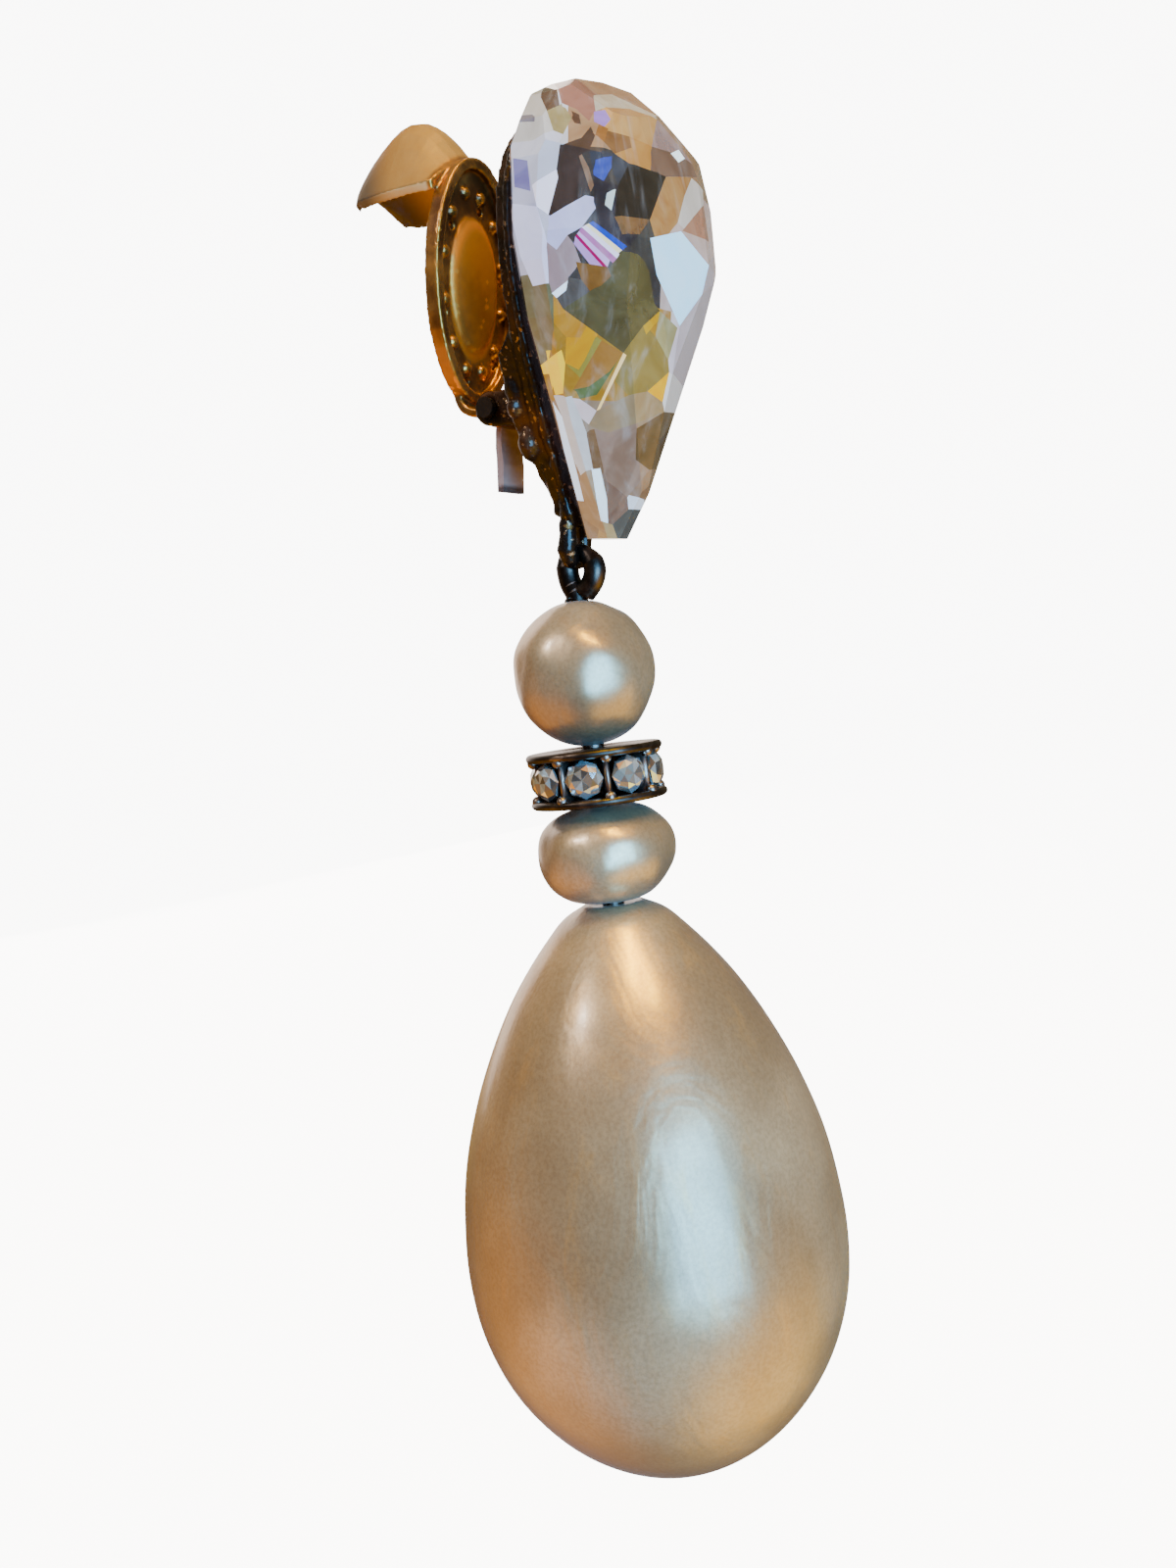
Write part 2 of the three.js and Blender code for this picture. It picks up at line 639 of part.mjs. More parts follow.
function makeRondelleRing() {
  const bore = boreWidth / 2;
  const edge = rondelleWidth / 2;
  const barrel = barrelWidth / 2;
  const low = rondelleTopZ - rondelleHeight;
  const lip = edge - flangeChamfer;
  const points = [
    [bore, low], [lip, low], [edge, low + flangeChamfer], [edge, low + flangeSheet],
    [barrel, low + flangeSheet], [barrel, rondelleTopZ - flangeSheet],
    [edge, rondelleTopZ - flangeSheet], [edge, rondelleTopZ - flangeChamfer], [lip, rondelleTopZ],
    [bore, rondelleTopZ], [bore, low],
  ].map(([radius, z]) => new THREE.Vector2(radius, z));
  return turned(points, 48);
}

// One round rhinestone with a table, eight crown facets and eight back facets, facing outwards.
function makeChaton(index) {
  const girdle = chatonWidth / 2;
  const face = rondelleWidth / 2 - chatonRecess;
  const points = [
    [0, face - chatonDepth], [girdle, face - chatonCrown - chatonGirdle],
    [girdle, face - chatonCrown], [girdle * 0.55, face], [0, face],
  ].map(([radius, out]) => new THREE.Vector2(radius, out));
  const geometry = new THREE.LatheGeometry(points, 8);
  geometry.rotateZ(((index + chatonStart) / chatonCount) * Math.PI * 2);
  return geometry.translate(0, stringY, rondelleTopZ - rondelleHeight / 2);
}

// The large drop: half width at shares of its height from the top, as shares of half the width.
const dropSections = [
  { down: 0, half: 0.16 }, { down: 0.02, half: 0.27 }, { down: 0.05, half: 0.36 },
  { down: 0.1, half: 0.485 }, { down: 0.16, half: 0.61 }, { down: 0.24, half: 0.74 },
  { down: 0.33, half: 0.855 }, { down: 0.43, half: 0.945 }, { down: 0.53, half: 0.99 },
  { down: 0.62, half: 1 }, { down: 0.71, half: 0.965 }, { down: 0.8, half: 0.865 },
  { down: 0.88, half: 0.7 }, { down: 0.94, half: 0.5 }, { down: 0.98, half: 0.28 },
  { down: 1, half: 0 },
];

function makeDrop() {
  const skin = new THREE.SplineCurve(dropSections.map(({ down, half }) =>
    new THREE.Vector2(half * dropWidth / 2, dropTopZ - down * dropHeight)));
  const outer = skin.getPoints(28);
  outer[outer.length - 1].x = 0;
  const bore = boreWidth / 2;
  const floor = dropTopZ - dropBoreDepth;
  const points = [
    new THREE.Vector2(0, floor), new THREE.Vector2(bore, floor), new THREE.Vector2(bore, dropTopZ),
    ...outer,
  ].reverse();
  return turned(points, 44);
}

addNode("stone", makeStone(), crystal, leaning);
addNode("setting", makeSetting(), darkBrass, leaning);
addNode("hinge_pin", makeHingePin(), darkBrass, leaning);
addNode("spring_leaf", makeSpringLeaf(), steel, leaning);
addNode("clip_paddle", makeClip(), brass, leaning);
addNode("eye_pin", makeEyePin(), gunmetal);
addNode("pearl_upper",
  lumpy(drilledBead(upperPearlWidth, upperPearlHeight, upperPearlTopZ, 18, 28), upperPearlLumps,
    upperPearlTopZ - upperPearlHeight / 2, upperPearlWidth), pearl);
addNode("rondelle_ring", makeRondelleRing(), gunmetal);
for (let i = 0; i < chatonCount; i += 1) {
  addNode(`rondelle_stone_${i + 1}`, makeChaton(i), crystal);
}
addNode("pearl_lower",
  lumpy(drilledBead(lowerPearlWidth, lowerPearlHeight, lowerPearlTopZ, 16, 28), lowerPearlLumps,
    lowerPearlTopZ - lowerPearlHeight / 2, lowerPearlWidth), pearl);
addNode("pearl_drop", makeDrop(), pearl);

export default earring;
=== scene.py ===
# %% [markdown]
# # A clip-on drop earring
#
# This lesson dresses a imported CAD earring: a cut pear crystal on a dark brass setting, a hinged
# clip behind it, and a hanging drop of two small pearls, a rhinestone rondelle and one large
# pearl. The CAD model is the frame. Every piece made here rides on one of its bodies, in metres.

import math
import random

import bmesh
import bpy
import numpy as np
from mathutils import Matrix, Vector, noise


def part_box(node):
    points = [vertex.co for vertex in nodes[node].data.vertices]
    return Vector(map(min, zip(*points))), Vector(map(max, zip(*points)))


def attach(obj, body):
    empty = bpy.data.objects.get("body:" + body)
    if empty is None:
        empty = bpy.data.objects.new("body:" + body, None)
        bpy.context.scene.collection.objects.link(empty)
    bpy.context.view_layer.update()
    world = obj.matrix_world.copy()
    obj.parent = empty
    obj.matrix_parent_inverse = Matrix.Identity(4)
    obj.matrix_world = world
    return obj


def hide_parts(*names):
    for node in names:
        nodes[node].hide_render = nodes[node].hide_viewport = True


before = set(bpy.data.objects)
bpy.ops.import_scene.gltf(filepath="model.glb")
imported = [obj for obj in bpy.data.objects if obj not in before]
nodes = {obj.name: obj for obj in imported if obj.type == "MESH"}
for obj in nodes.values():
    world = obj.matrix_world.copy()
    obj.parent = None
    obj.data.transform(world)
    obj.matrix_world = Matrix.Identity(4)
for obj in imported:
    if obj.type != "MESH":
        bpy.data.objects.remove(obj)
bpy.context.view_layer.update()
print("CAD nodes:", len(nodes))

# %% [markdown]
# ## Sizes that the pieces share
#
# The crystal, its setting and the clip lean forward against the hanging beads, because the
# weight of the drop pulls them down in front. Working in a frame that leans with them keeps
# their own shapes straight, so one matrix carries points from that frame to the row frame.

# %% Sizes
MM = 0.001
LEAN = math.radians(9)
STONE_HALF_WIDTH = 10 * MM
STONE_HEIGHT = 29.2 * MM
STONE_TIP_DROP = 19 * MM
BORE = 0.6 * MM
leaning = Matrix.Rotation(LEAN, 4, "X")
upright = leaning.inverted()


def middle(name):
    low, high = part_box(name)
    return (low + high) / 2


string_y = middle("rondelle_ring").y
print("beads hang at y =", round(string_y / MM, 2), "mm")

# %% [markdown]
# ## Camera and light
#
# The camera stands very near, almost level, and looks past the clip at the crystal's edge, as
# the photograph does. It is turned a little about its own axis. The light is a soft studio: a
# tall cool window card behind the camera, a weak fill from behind, a small white lamp at the
# left and three small warm lamps above. Point lamps would be simpler, but a soft card gives
# pearls the long smooth highlight that tells the eye how satin their coating is.

# %% Camera
AZIMUTH = math.radians(-57)
ELEVATION = math.radians(4)
ROLL = math.radians(7.4)
DISTANCE = 93 * MM
AIM = Vector((0, -2, -37)) * MM
SHIFT_RIGHT = -1.0 * MM
SHIFT_UP = -0.3 * MM
SENSOR = 24
FOCAL_SHARE = 1303 / 1600

back = Vector((
    math.sin(AZIMUTH) * math.cos(ELEVATION),
    -math.cos(AZIMUTH) * math.cos(ELEVATION),
    math.sin(ELEVATION),
))
level_right = Vector((math.cos(AZIMUTH), math.sin(AZIMUTH), 0))
level_up = back.cross(level_right)
right = level_right * math.cos(ROLL) - level_up * math.sin(ROLL)
up = level_up * math.cos(ROLL) + level_right * math.sin(ROLL)
aim = AIM + right * SHIFT_RIGHT + up * SHIFT_UP

camera = bpy.data.objects.new("camera", bpy.data.cameras.new("camera"))
camera.data.sensor_fit = "VERTICAL"
camera.data.sensor_height = SENSOR
camera.data.lens = SENSOR * FOCAL_SHARE
camera.data.clip_start = 0.002
camera.data.clip_end = 20
turned = Matrix((right, up, back)).transposed().to_4x4()
camera.matrix_world = Matrix.Translation(aim + back * DISTANCE) @ turned
bpy.context.scene.collection.objects.link(camera)
bpy.context.scene.camera = camera
print("camera at", [round(value / MM, 1) for value in camera.matrix_world.translation], "mm")


# %% Light cards
def direction(azimuth, elevation):
    """The way from the earring to a light, turned from straight ahead and raised, in degrees."""
    a = math.radians(azimuth)
    e = math.radians(elevation)
    return Vector((math.sin(a) * math.cos(e), -math.cos(a) * math.cos(e), math.sin(e)))


def light_card(name, azimuth, elevation, distance, width, height, color, power):
    """A soft card that shines on the earring and doesn't show itself."""
    data = bpy.data.lights.new(name, "AREA")
    data.shape = "RECTANGLE"
    data.size = width
    data.size_y = height
    data.color = color
    data.energy = power
    card = bpy.data.objects.new(name, data)
    away = direction(azimuth, elevation)
    turned = away.to_track_quat("Z", "Y").to_matrix().to_4x4()
    card.matrix_world = Matrix.Translation(aim + away * distance) @ turned
    card.visible_camera = False
    bpy.context.scene.collection.objects.link(card)
    return card


WARM_LAMPS = [(-22, 72, 2.7), (-37, 62, 2.7), (-18, 53, 2.1)]
light_card("window_card", -31, -2, 0.8, 0.52, 0.60, (0.15, 0.52, 1.0), 30)
light_card("back_fill", 142, 18, 0.9, 0.8, 0.8, (1.0, 0.86, 0.78), 5)
light_card("small_lamp", -112, 44, 0.7, 0.07, 0.07, (1.0, 0.97, 0.93), 1.8)
for number, (azimuth, elevation, power) in enumerate(WARM_LAMPS):
    light_card(f"warm_lamp_{number + 1}", azimuth, elevation, 0.7, 0.08, 0.09, (1.0, 0.63, 0.0), power)

# %% [markdown]
# ## Finishes as sums
#
# A finish is a small sum over masks: how far along the brass is dark, where a hand has rubbed
# it, how much grain shows. Wiring the nodes one by one hides that sum. So one class wraps a
# socket and lets Python's own signs add the Math nodes, and every other node comes from one
# method that takes its kind, its settings and its sockets.

# %% One class for a socket, one for a finish
class Strand:
    """A value, colour or vector on its way through a finish's nodes."""

    def __init__(self, finish, socket):
        self.finish = finish
        self.socket = socket

    def maths(self, operation, *values):
        return self.finish.node("ShaderNodeMath", {"operation": operation}, dict(enumerate(values)))

    def __add__(self, other):
        return self.maths("ADD", self, other)

    def __radd__(self, other):
        return self.maths("ADD", other, self)

    def __sub__(self, other):
        return self.maths("SUBTRACT", self, other)

    def __rsub__(self, other):
        return self.maths("SUBTRACT", other, self)

    def __mul__(self, other):
        return self.maths("MULTIPLY", self, other)

    def __rmul__(self, other):
        return self.maths("MULTIPLY", other, self)

    def __pow__(self, other):
        return self.maths("POWER", self, other)

    def rise(self, low, high):
        """0 below low, 1 above high, smooth between them."""
        settings = {"interpolation_type": "SMOOTHSTEP"}
        return self.finish.node("ShaderNodeMapRange", settings, {0: self, 1: low, 2: high, 3: 0.0, 4: 1.0})


class Finish:
    """A material, or the world, and the one way its nodes are made."""

    def __init__(self, name, owner=None):
        self.owner = owner or bpy.data.materials.new(name)
        self.owner.use_nodes = True
        self.tree = self.owner.node_tree
        self.surface = self.tree.nodes.get("Principled BSDF")

    def feed(self, socket, value):
        """Links a strand to a socket, or sets a plain value on it."""
        if isinstance(value, Strand):
            self.tree.links.new(value.socket, socket)
        else:
            socket.default_value = value

    def node(self, kind, settings=None, sockets=None, output=0):
        """Any node: settings first, then its sockets. Gives back one output."""
        made = self.tree.nodes.new(kind)
        for key, value in (settings or {}).items():
            setattr(made, key, value)
        for key, value in (sockets or {}).items():
            self.feed(made.inputs[key], value)
        return Strand(self, made.outputs[output])

    def mix(self, share, first, second, blend="MIX"):
        settings = {"data_type": "RGBA", "blend_type": blend}
        return self.node("ShaderNodeMix", settings, {0: share, 6: first, 7: second}, output=2)

    def place(self):
        """The point on the piece, in metres in the row frame at rest."""
        return self.node("ShaderNodeTexCoord", output="Object")

    def axis(self, name):
        return self.node("ShaderNodeSeparateXYZ", None, {0: self.place()}, output=name)

    def noise(self, scale, detail=4.0, roughness=0.55, stretch=(1, 1, 1), distortion=0.0):
        """Cloudy values round a half, stretched where a scale is below 1."""
        stretched = self.node("ShaderNodeMapping", None, {"Vector": self.place(), "Scale": stretch})
        sockets = {"Vector": stretched, "Scale": scale, "Detail": detail}
        sockets.update({"Roughness": roughness, "Distortion": distortion})
        return self.node("ShaderNodeTexNoise", None, sockets)

    def bump(self, height, strength, depth, under=None):
        sockets = {"Height": height, "Strength": strength, "Distance": depth}
        if under is not None:
            sockets["Normal"] = under
        return self.node("ShaderNodeBump", None, sockets)

    def wear(self, low, high):
        """1 on edges that stick out, where handling rubs a metal bright."""
        return self.node("ShaderNodeNewGeometry", output="Pointiness").rise(low, high)

    def dress(self, **values):
        for key, value in values.items():
            self.feed(self.surface.inputs[key.replace("_", " ")], value)
        return self.owner


def paint(code):
    """A colour from its usual six-digit code, as the linear values that shaders take."""
    parts = [int(code[i:i + 2], 16) / 255 for i in (0, 2, 4)]
    linear = [part / 12.92 if part <= 0.04045 else ((part + 0.055) / 1.055) ** 2.4 for part in parts]
    return (*linear, 1.0)


print("ivory as linear values:", [round(part, 3) for part in paint("fffff0")[:3]])

# %% [markdown]
# ## The studio
#
# A pale floor runs far below the hanging earring and curves up into a wall behind it, as paper
# does in a photo studio, so no line of a corner shows. It is only for the eye: what the pearls
# and the metal mirror is a warm dim room with three glows. A glow painted on the world has no
# edge, so a pearl shows it as a soft band and not as a patch.

# %% Floor and surroundings
FLOOR_DROP = 120 * MM
FLOOR_HALF = 3.0
GLOWS = [
    (-150, -40, 10.0, (2.2, 0.95, 0.04, 1.0)),
    (12, -52, 14.0, (4.4, 2.7, 0.15, 1.0)),
    (-32, 60, 20.0, (1.8, 0.85, 0.06, 1.0)),
]  # azimuth, elevation, tightness, light
FLOOR_GLOW = 9.0
ROOM_STRENGTH = 0.8
SEEN_WHITE = (12.0, 11.9, 11.8, 1.0)
FLOOR_SWEEP = [(-1, 0), (0.3, 0), (0.5, 0.03), (0.64, 0.12), (0.74, 0.26), (0.78, 0.45), (0.8, 1.6)]

pale = Finish("pale floor")
floor_mottle = pale.noise(3.0, 3.0)
pale.dress(
    Base_Color=pale.mix(floor_mottle, paint("f4f2ee"), paint("fbfaf8")),
    Roughness=0.8,
    Emission_Color=paint("ffffff"),
    Emission_Strength=FLOOR_GLOW,
)
floor_z = aim.z - FLOOR_DROP
away = -Vector((back.x, back.y, 0)).normalized()
sweep = [away * FLOOR_HALF * reach + Vector((0, 0, rise * FLOOR_HALF)) for reach, rise in FLOOR_SWEEP]
points = []
for place in sweep:
    for side in (-1, 1):
        points.append(place + level_right * side * FLOOR_HALF + Vector((aim.x, aim.y, floor_z)))
faces = [(2 * i, 2 * i + 1, 2 * i + 3, 2 * i + 2) for i in range(len(sweep) - 1)]
floor_mesh = bpy.data.meshes.new("floor")
floor_mesh.from_pydata(points, [], faces)
floor = bpy.data.objects.new("floor", floor_mesh)
floor.data.materials.append(pale.owner)
bpy.context.scene.collection.objects.link(floor)
for kind in ("diffuse", "glossy", "transmission"):
    setattr(floor, f"visible_{kind}", False)

world = bpy.data.worlds.new("studio")
bpy.context.scene.world = world
room = Finish("studio", world)
sky = room.node("ShaderNodeTexCoord", output="Generated")
height = room.node("ShaderNodeSeparateXYZ", None, {0: sky}, output="Z")
warm_room = room.mix(height.rise(-0.5, 0.6), paint("74542c"), paint("8f886e"))
for azimuth, elevation, tightness, tone in GLOWS:
    sockets = {0: sky, 1: direction(azimuth, elevation)}
    toward = room.node("ShaderNodeVectorMath", {"operation": "DOT_PRODUCT"}, sockets, output="Value")
    warm_room = room.mix(toward.rise(0.0, 1.0) ** tightness, warm_room, tone)
seen = room.node("ShaderNodeLightPath", output="Is Camera Ray")
room_color = room.mix(seen, warm_room, SEEN_WHITE)
room.feed(room.tree.nodes["Background"].inputs["Color"], room_color)
room.feed(room.tree.nodes["Background"].inputs["Strength"], ROOM_STRENGTH)
print("floor at z =", round(floor_z / MM, 1), "mm")


# %% [markdown]
# ## Turned pieces
#
# Beads and rings are turned shapes: a profile swept round the string. Sweeping rings of points
# keeps every face a clean four-sided one, which shades smoothly and can be pushed about
# afterwards, where a ready-made sphere would pinch at its poles.

# %% Sweep a profile
def add_piece(name, mesh, body, material, smooth=True):
    """A new piece with its finish, riding on one body of the CAD."""
    piece = bpy.data.objects.new(name, mesh)
    bpy.context.scene.collection.objects.link(piece)
    mesh.materials.append(material)
    mesh.polygons.foreach_set("use_smooth", [smooth] * len(mesh.polygons))
    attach(piece, body)
    return piece


def mesh_from_rings(name, rings, closed_along=True):
    """Four-sided faces between rings of points. Each ring is closed round."""
    count = len(rings[0])
    points = [tuple(point) for ring in rings for point in ring]
    faces = []
    last = len(rings) if closed_along else len(rings) - 1
    for i in range(last):
        j = (i + 1) % len(rings)
        for k in range(count):
            n = (k + 1) % count
            faces.append((i * count + k, i * count + n, j * count + n, j * count + k))
    mesh = bpy.data.meshes.new(name)
    mesh.from_pydata(points, [], faces)
    mesh.validate()
    return mesh


def turned_rings(profile, sides, push=None):
    """Rings of points round the string, one for each point of the profile."""
    rings = []
    for radius, z in profile:
        ring = []
        for k in range(sides):
            turn = 2 * math.pi * k / sides
            point = Vector((radius * math.cos(turn), radius * math.sin(turn), z))
            if push:
                point = push(point)
            ring.append(point + Vector((0, string_y, 0)))
        rings.append(ring)
    return rings


# %% [markdown]
# ## The pearls' coating
#
# These are imitation pearls: beads dipped in many coats of a lacquer that holds fine
# fish-scale or mica flakes. The flakes give a satin, slightly metallic depth, and the last
# clear coat a tighter gloss on top. So the shader has a rough, partly metallic base for the
# wide glow and a clear coat for the small sharp lights. Years of wear leave faint streaks and
# fine ripples in the lacquer, which show where a light is mirrored.

# %% Pearl finish
# Heights between which the drop's lower part turns warm orange: a painted reflection of warm light from
# below.
PAINTED_REFLECTION_FOOT = -84 * MM
PAINTED_REFLECTION_TOP = -72 * MM


def pearl_finish(name, light, shade, warm):
    finish = Finish(name)
    cloud = finish.noise(70.0, 3.0, 0.5)
    streak = finish.noise(420.0, 5.0, 0.65, (1, 1, 0.25), 0.4)
    grain = finish.noise(3600.0, 3.0, 0.6)
    body = finish.mix(cloud.rise(0.35, 0.7), paint(shade), paint(light))
    body = finish.mix(streak.rise(0.5, 0.75) * 0.4, body, paint(warm))
    body = finish.mix(grain.rise(0.3, 0.75) * 0.3, body, paint(shade), "MULTIPLY")
    # Painted reflection: below these heights the body is painted warm orange, as if it mirrored warm light
    # under the drop.
    low = 1.0 - (finish.axis("Z") + cloud * 8 * MM).rise(PAINTED_REFLECTION_FOOT, PAINTED_REFLECTION_TOP)
    body = finish.mix(low * 0.6, body, paint("c98e3c"))
    wave = finish.bump(finish.noise(190.0, 3.0, 0.6, (1, 1, 0.5), 0.8), 0.34, 0.4 * MM)
    ripple = finish.bump(streak, 0.24, 0.10 * MM, wave)
    normal = finish.bump(grain, 0.08, 0.02 * MM, ripple)
    finish.dress(
        Base_Color=body,
        Metallic=0.5,
        Roughness=0.28 + streak * 0.12,
        Normal=normal,
        Coat_Weight=0.35,
        Coat_Roughness=0.16,
        IOR=1.5,
        Sheen_Weight=0.1,
        Sheen_Roughness=0.4,
    )
    return finish.owner


pearl_coat = pearl_finish("pearl coating", "ccb08a", "9c8060", "c69656")
print("finish:", pearl_coat.name)


# %% Small pearls
PEARL_WIDTH = 10.2 * MM
PEARL_SWELL = 1.02
LUMP_SPACING = 2.6 * MM
LUMP_SHARE = 0.02


def skin_push(lumps, centre_z, size):
    """Pushes the skin in or out round a few directions, as on an uneven pearl."""
    centre = Vector((0, 0, centre_z))

    def push(point):
        away = point - centre
        radius = math.hypot(away.x, away.y)
        clear = min(1.0, max(0.0, (radius - BORE * 1.02) / (size * 0.28)))
        clear = clear * clear * (3 - 2 * clear)
        line = away.normalized()
        depth = sum(
            lump_depth * size * math.exp(-(((line - Vector(toward).normalized()).length / spread) ** 2))
            for toward, lump_depth, spread in lumps
        )
        depth += LUMP_SHARE * size * noise.noise(away / LUMP_SPACING)
        return point + line * depth * clear

    return push


def small_pearl(name, node, lumps, fullness, rows=64, sides=96):
    low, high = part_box(node)
    half = PEARL_WIDTH / 2
    height = (high.z - low.z) * PEARL_SWELL
    centre_z = (low.z + high.z) / 2
    start = math.asin((BORE / half) ** (1 / fullness))
    profile = []
    for i in range(rows + 1):
        turn = start + (math.pi - 2 * start) * i / rows
        profile.append((math.sin(turn) ** fullness * half, centre_z + math.cos(turn) * height / 2))
    inner = [(BORE, centre_z - height * 0.35), (BORE, centre_z + height * 0.35)]
    rings = turned_rings(profile + inner, sides, skin_push(lumps, centre_z, PEARL_WIDTH))
    pearl = add_piece(name, mesh_from_rings(name, rings), "drop", pearl_coat)
    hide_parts(node)
    print(name, len(pearl.data.polygons), "faces")
    return pearl


upper_lumps = [
    ((-0.6, -0.6, -0.5), 0.02, 0.6),
    ((0.9, -0.3, 0.3), 0.018, 0.5),
    ((-0.2, -0.9, 0.55), -0.02, 0.4),
    ((0.2, 0.9, -0.1), -0.015, 0.5),
]
lower_lumps = [
    ((-0.8, -0.4, 0.2), 0.02, 0.5),
    ((0.3, -0.9, -0.4), -0.02, 0.45),
    ((0.6, 0.7, 0.1), 0.015, 0.5),
]
small_pearl("small_pearl_upper", "pearl_upper", upper_lumps, 0.96)
small_pearl("small_pearl_lower", "pearl_lower", lower_lumps, 0.74)

# %% [markdown]
# ## The large drop
#
# An egg with a narrow shoulder, turned from its half widths at a few heights. A smooth line
# through those points gives the long even swell, and the mouth at the top is drilled halfway
# for the pin.

# %% Large pearl
DRILLED = 9 * MM
DROP_SECTIONS = [
    (0, 0.16), (0.02, 0.27), (0.05, 0.36), (0.1, 0.485), (0.16, 0.61), (0.24, 0.74),
    (0.33, 0.855), (0.43, 0.945), (0.53, 0.99), (0.62, 1), (0.71, 0.965), (0.8, 0.865),
    (0.88, 0.7), (0.94, 0.5), (0.98, 0.28), (1, 0.0),
]


def smooth_line(points, count):
    """Points on a smooth curve through the given ones."""
    given = [Vector(point) for point in points]
    given = [given[0] * 2 - given[1], *given, given[-1] * 2 - given[-2]]
    line = []
    for i in range(count):
        at = i / (count - 1) * (len(given) - 3)
        start = min(int(at), len(given) - 4)
        t = at - start
        a, b, c, d = given[start:start + 4]
        slope = (c - a) * t
        sweep = (2 * a - 5 * b + 4 * c - d) * t ** 2
        twist = (3 * b - 3 * c + d - a) * t ** 3
        line.append(0.5 * (2 * b + slope + sweep + twist))
    return line


def large_pearl():
    low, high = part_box("pearl_drop")
    half = (high.x - low.x) / 2
    tall = high.z - low.z
    line = smooth_line([(down, share) for down, share in DROP_SECTIONS], 140)
    profile = [(max(share, 0.004) * half, high.z - down * tall) for down, share in line]
    mouth = [(BORE, high.z - DRILLED), (BORE, high.z)]
    rings = turned_rings(mouth + profile, 144)
    mesh = mesh_from_rings("large_pearl", rings, closed_along=False)
    pearl = add_piece("large_pearl", mesh, "drop", pearl_coat)
    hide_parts("pearl_drop")
    return pearl


print("large pearl:", len(large_pearl().data.polygons), "faces")


# %% [markdown]
# ## Old metal
#
# The brass has two moods. The setting and ring are almost black with old solder and grime,
# with glossy specks where the crust is smooth. The clip is antique brass: dark in its hollows,
# orange-gold where it was rubbed, and its thumb tab is wiped to a soft plain gold. Light and
# shade are painted on the clip too: a paler underside on the tab, painted shade at the tab's
# tip and a painted highlight round the pad's rim.

# %% Metal finishes
TAB_BEHIND = 3.9 * MM
TAB_ABOVE = 3.0 * MM
PAD_HALF_WIDTH = 2.9 * MM
PAD_HALF_HEIGHT = 5.0 * MM


def solder_finish():
    finish = Finish("old solder")
    crust = finish.noise(900.0, 6.0, 0.7, distortion=0.6)
    patch = finish.noise(260.0, 3.0, 0.5)
    speck = finish.noise(2400.0, 2.0, 0.5).rise(0.6, 0.72)
    body = finish.mix(patch.rise(0.42, 0.68), paint("1a100b"), paint("4a2c1a"))
    body = finish.mix(speck * 0.6, body, paint("c4a07c"))
    body = finish.mix(finish.wear(0.54, 0.64) * 0.5, body, paint("a8763c"))
    return finish.dress(
        Base_Color=body,
        Metallic=0.85,
        Roughness=0.48 - speck * 0.34 + patch * 0.1,
        Normal=finish.bump(crust, 0.6, 0.3 * MM),
        Coat_Weight=0.3,
        Coat_Roughness=0.12,
    )


def clip_finish():
    finish = Finish("antique brass")
    patch = finish.noise(240.0, 4.0, 0.6)
    fine = finish.noise(2600.0, 4.0, 0.6)
    brushed = finish.noise(900.0, 3.0, 0.6, (1, 1, 0.1))
    behind = finish.axis("Y") * math.cos(LEAN) + finish.axis("Z") * math.sin(LEAN)
    tab = behind.rise(TAB_BEHIND, TAB_BEHIND + 0.4 * MM) * finish.axis("Z").rise(TAB_ABOVE, TAB_ABOVE + MM)
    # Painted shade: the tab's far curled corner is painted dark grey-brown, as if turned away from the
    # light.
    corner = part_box("clip_paddle")[1].y * 0.84 + 1.4 * MM
    outward = finish.axis("X").maths("ABSOLUTE", finish.axis("X"))
    painted_shade_tip = (finish.axis("Y") * 0.84 + outward * 0.54).rise(corner - 4.0 * MM, corner - 1.4 * MM)
    wide = finish.axis("X") * (1 / PAD_HALF_WIDTH)
    tall = finish.axis("Z") * (1 / PAD_HALF_HEIGHT) + 0.1
    oval = wide ** 2 + tall ** 2
    pad = 1.0 - oval.rise(0.8, 1.05)
    glow = pad * (0.75 + patch.rise(0.35, 0.6) * 0.25)
    dark = finish.mix(patch.rise(0.36, 0.62), paint("5a3618"), paint("a87236"))
    dark = finish.mix(glow, dark, paint("c28536"))
    # Painted highlight: a bright orange band just inside the pad's rim.
    dark = finish.mix(pad * oval.rise(0.55, 0.8), dark, paint("e08f2e"))
    dark = finish.mix(finish.wear(0.5, 0.57), dark, paint("d9983f"))
    light = finish.mix(brushed, paint("8e6228"), paint("a4783a"))
    # Painted light: faces turned downward, such as the tab's underside, are painted pale gold and made less
    # metallic, so they look as lit as the top.
    normal = finish.node("ShaderNodeNewGeometry", output="Normal")
    below = 1.0 - finish.node("ShaderNodeSeparateXYZ", None, {0: normal}, output="Z").rise(-0.45, -0.1)
    light = finish.mix(below, light, paint("e8bc7c"))
    # Painted shade at the tab's tip.
    light = finish.mix(painted_shade_tip * 0.9, light, paint("463c32"))
    return finish.dress(
        Base_Color=finish.mix(tab, dark, light),
        Metallic=0.7 - tab * (0.45 + below * 0.25) - pad * 0.15,
        Roughness=0.26 + tab * 0.3 + pad * 0.16 + fine * 0.1,
        Normal=finish.bump(fine, 0.12, 0.05 * MM),
        Coat_Weight=0.1,
        Coat_Roughness=0.2,
    )


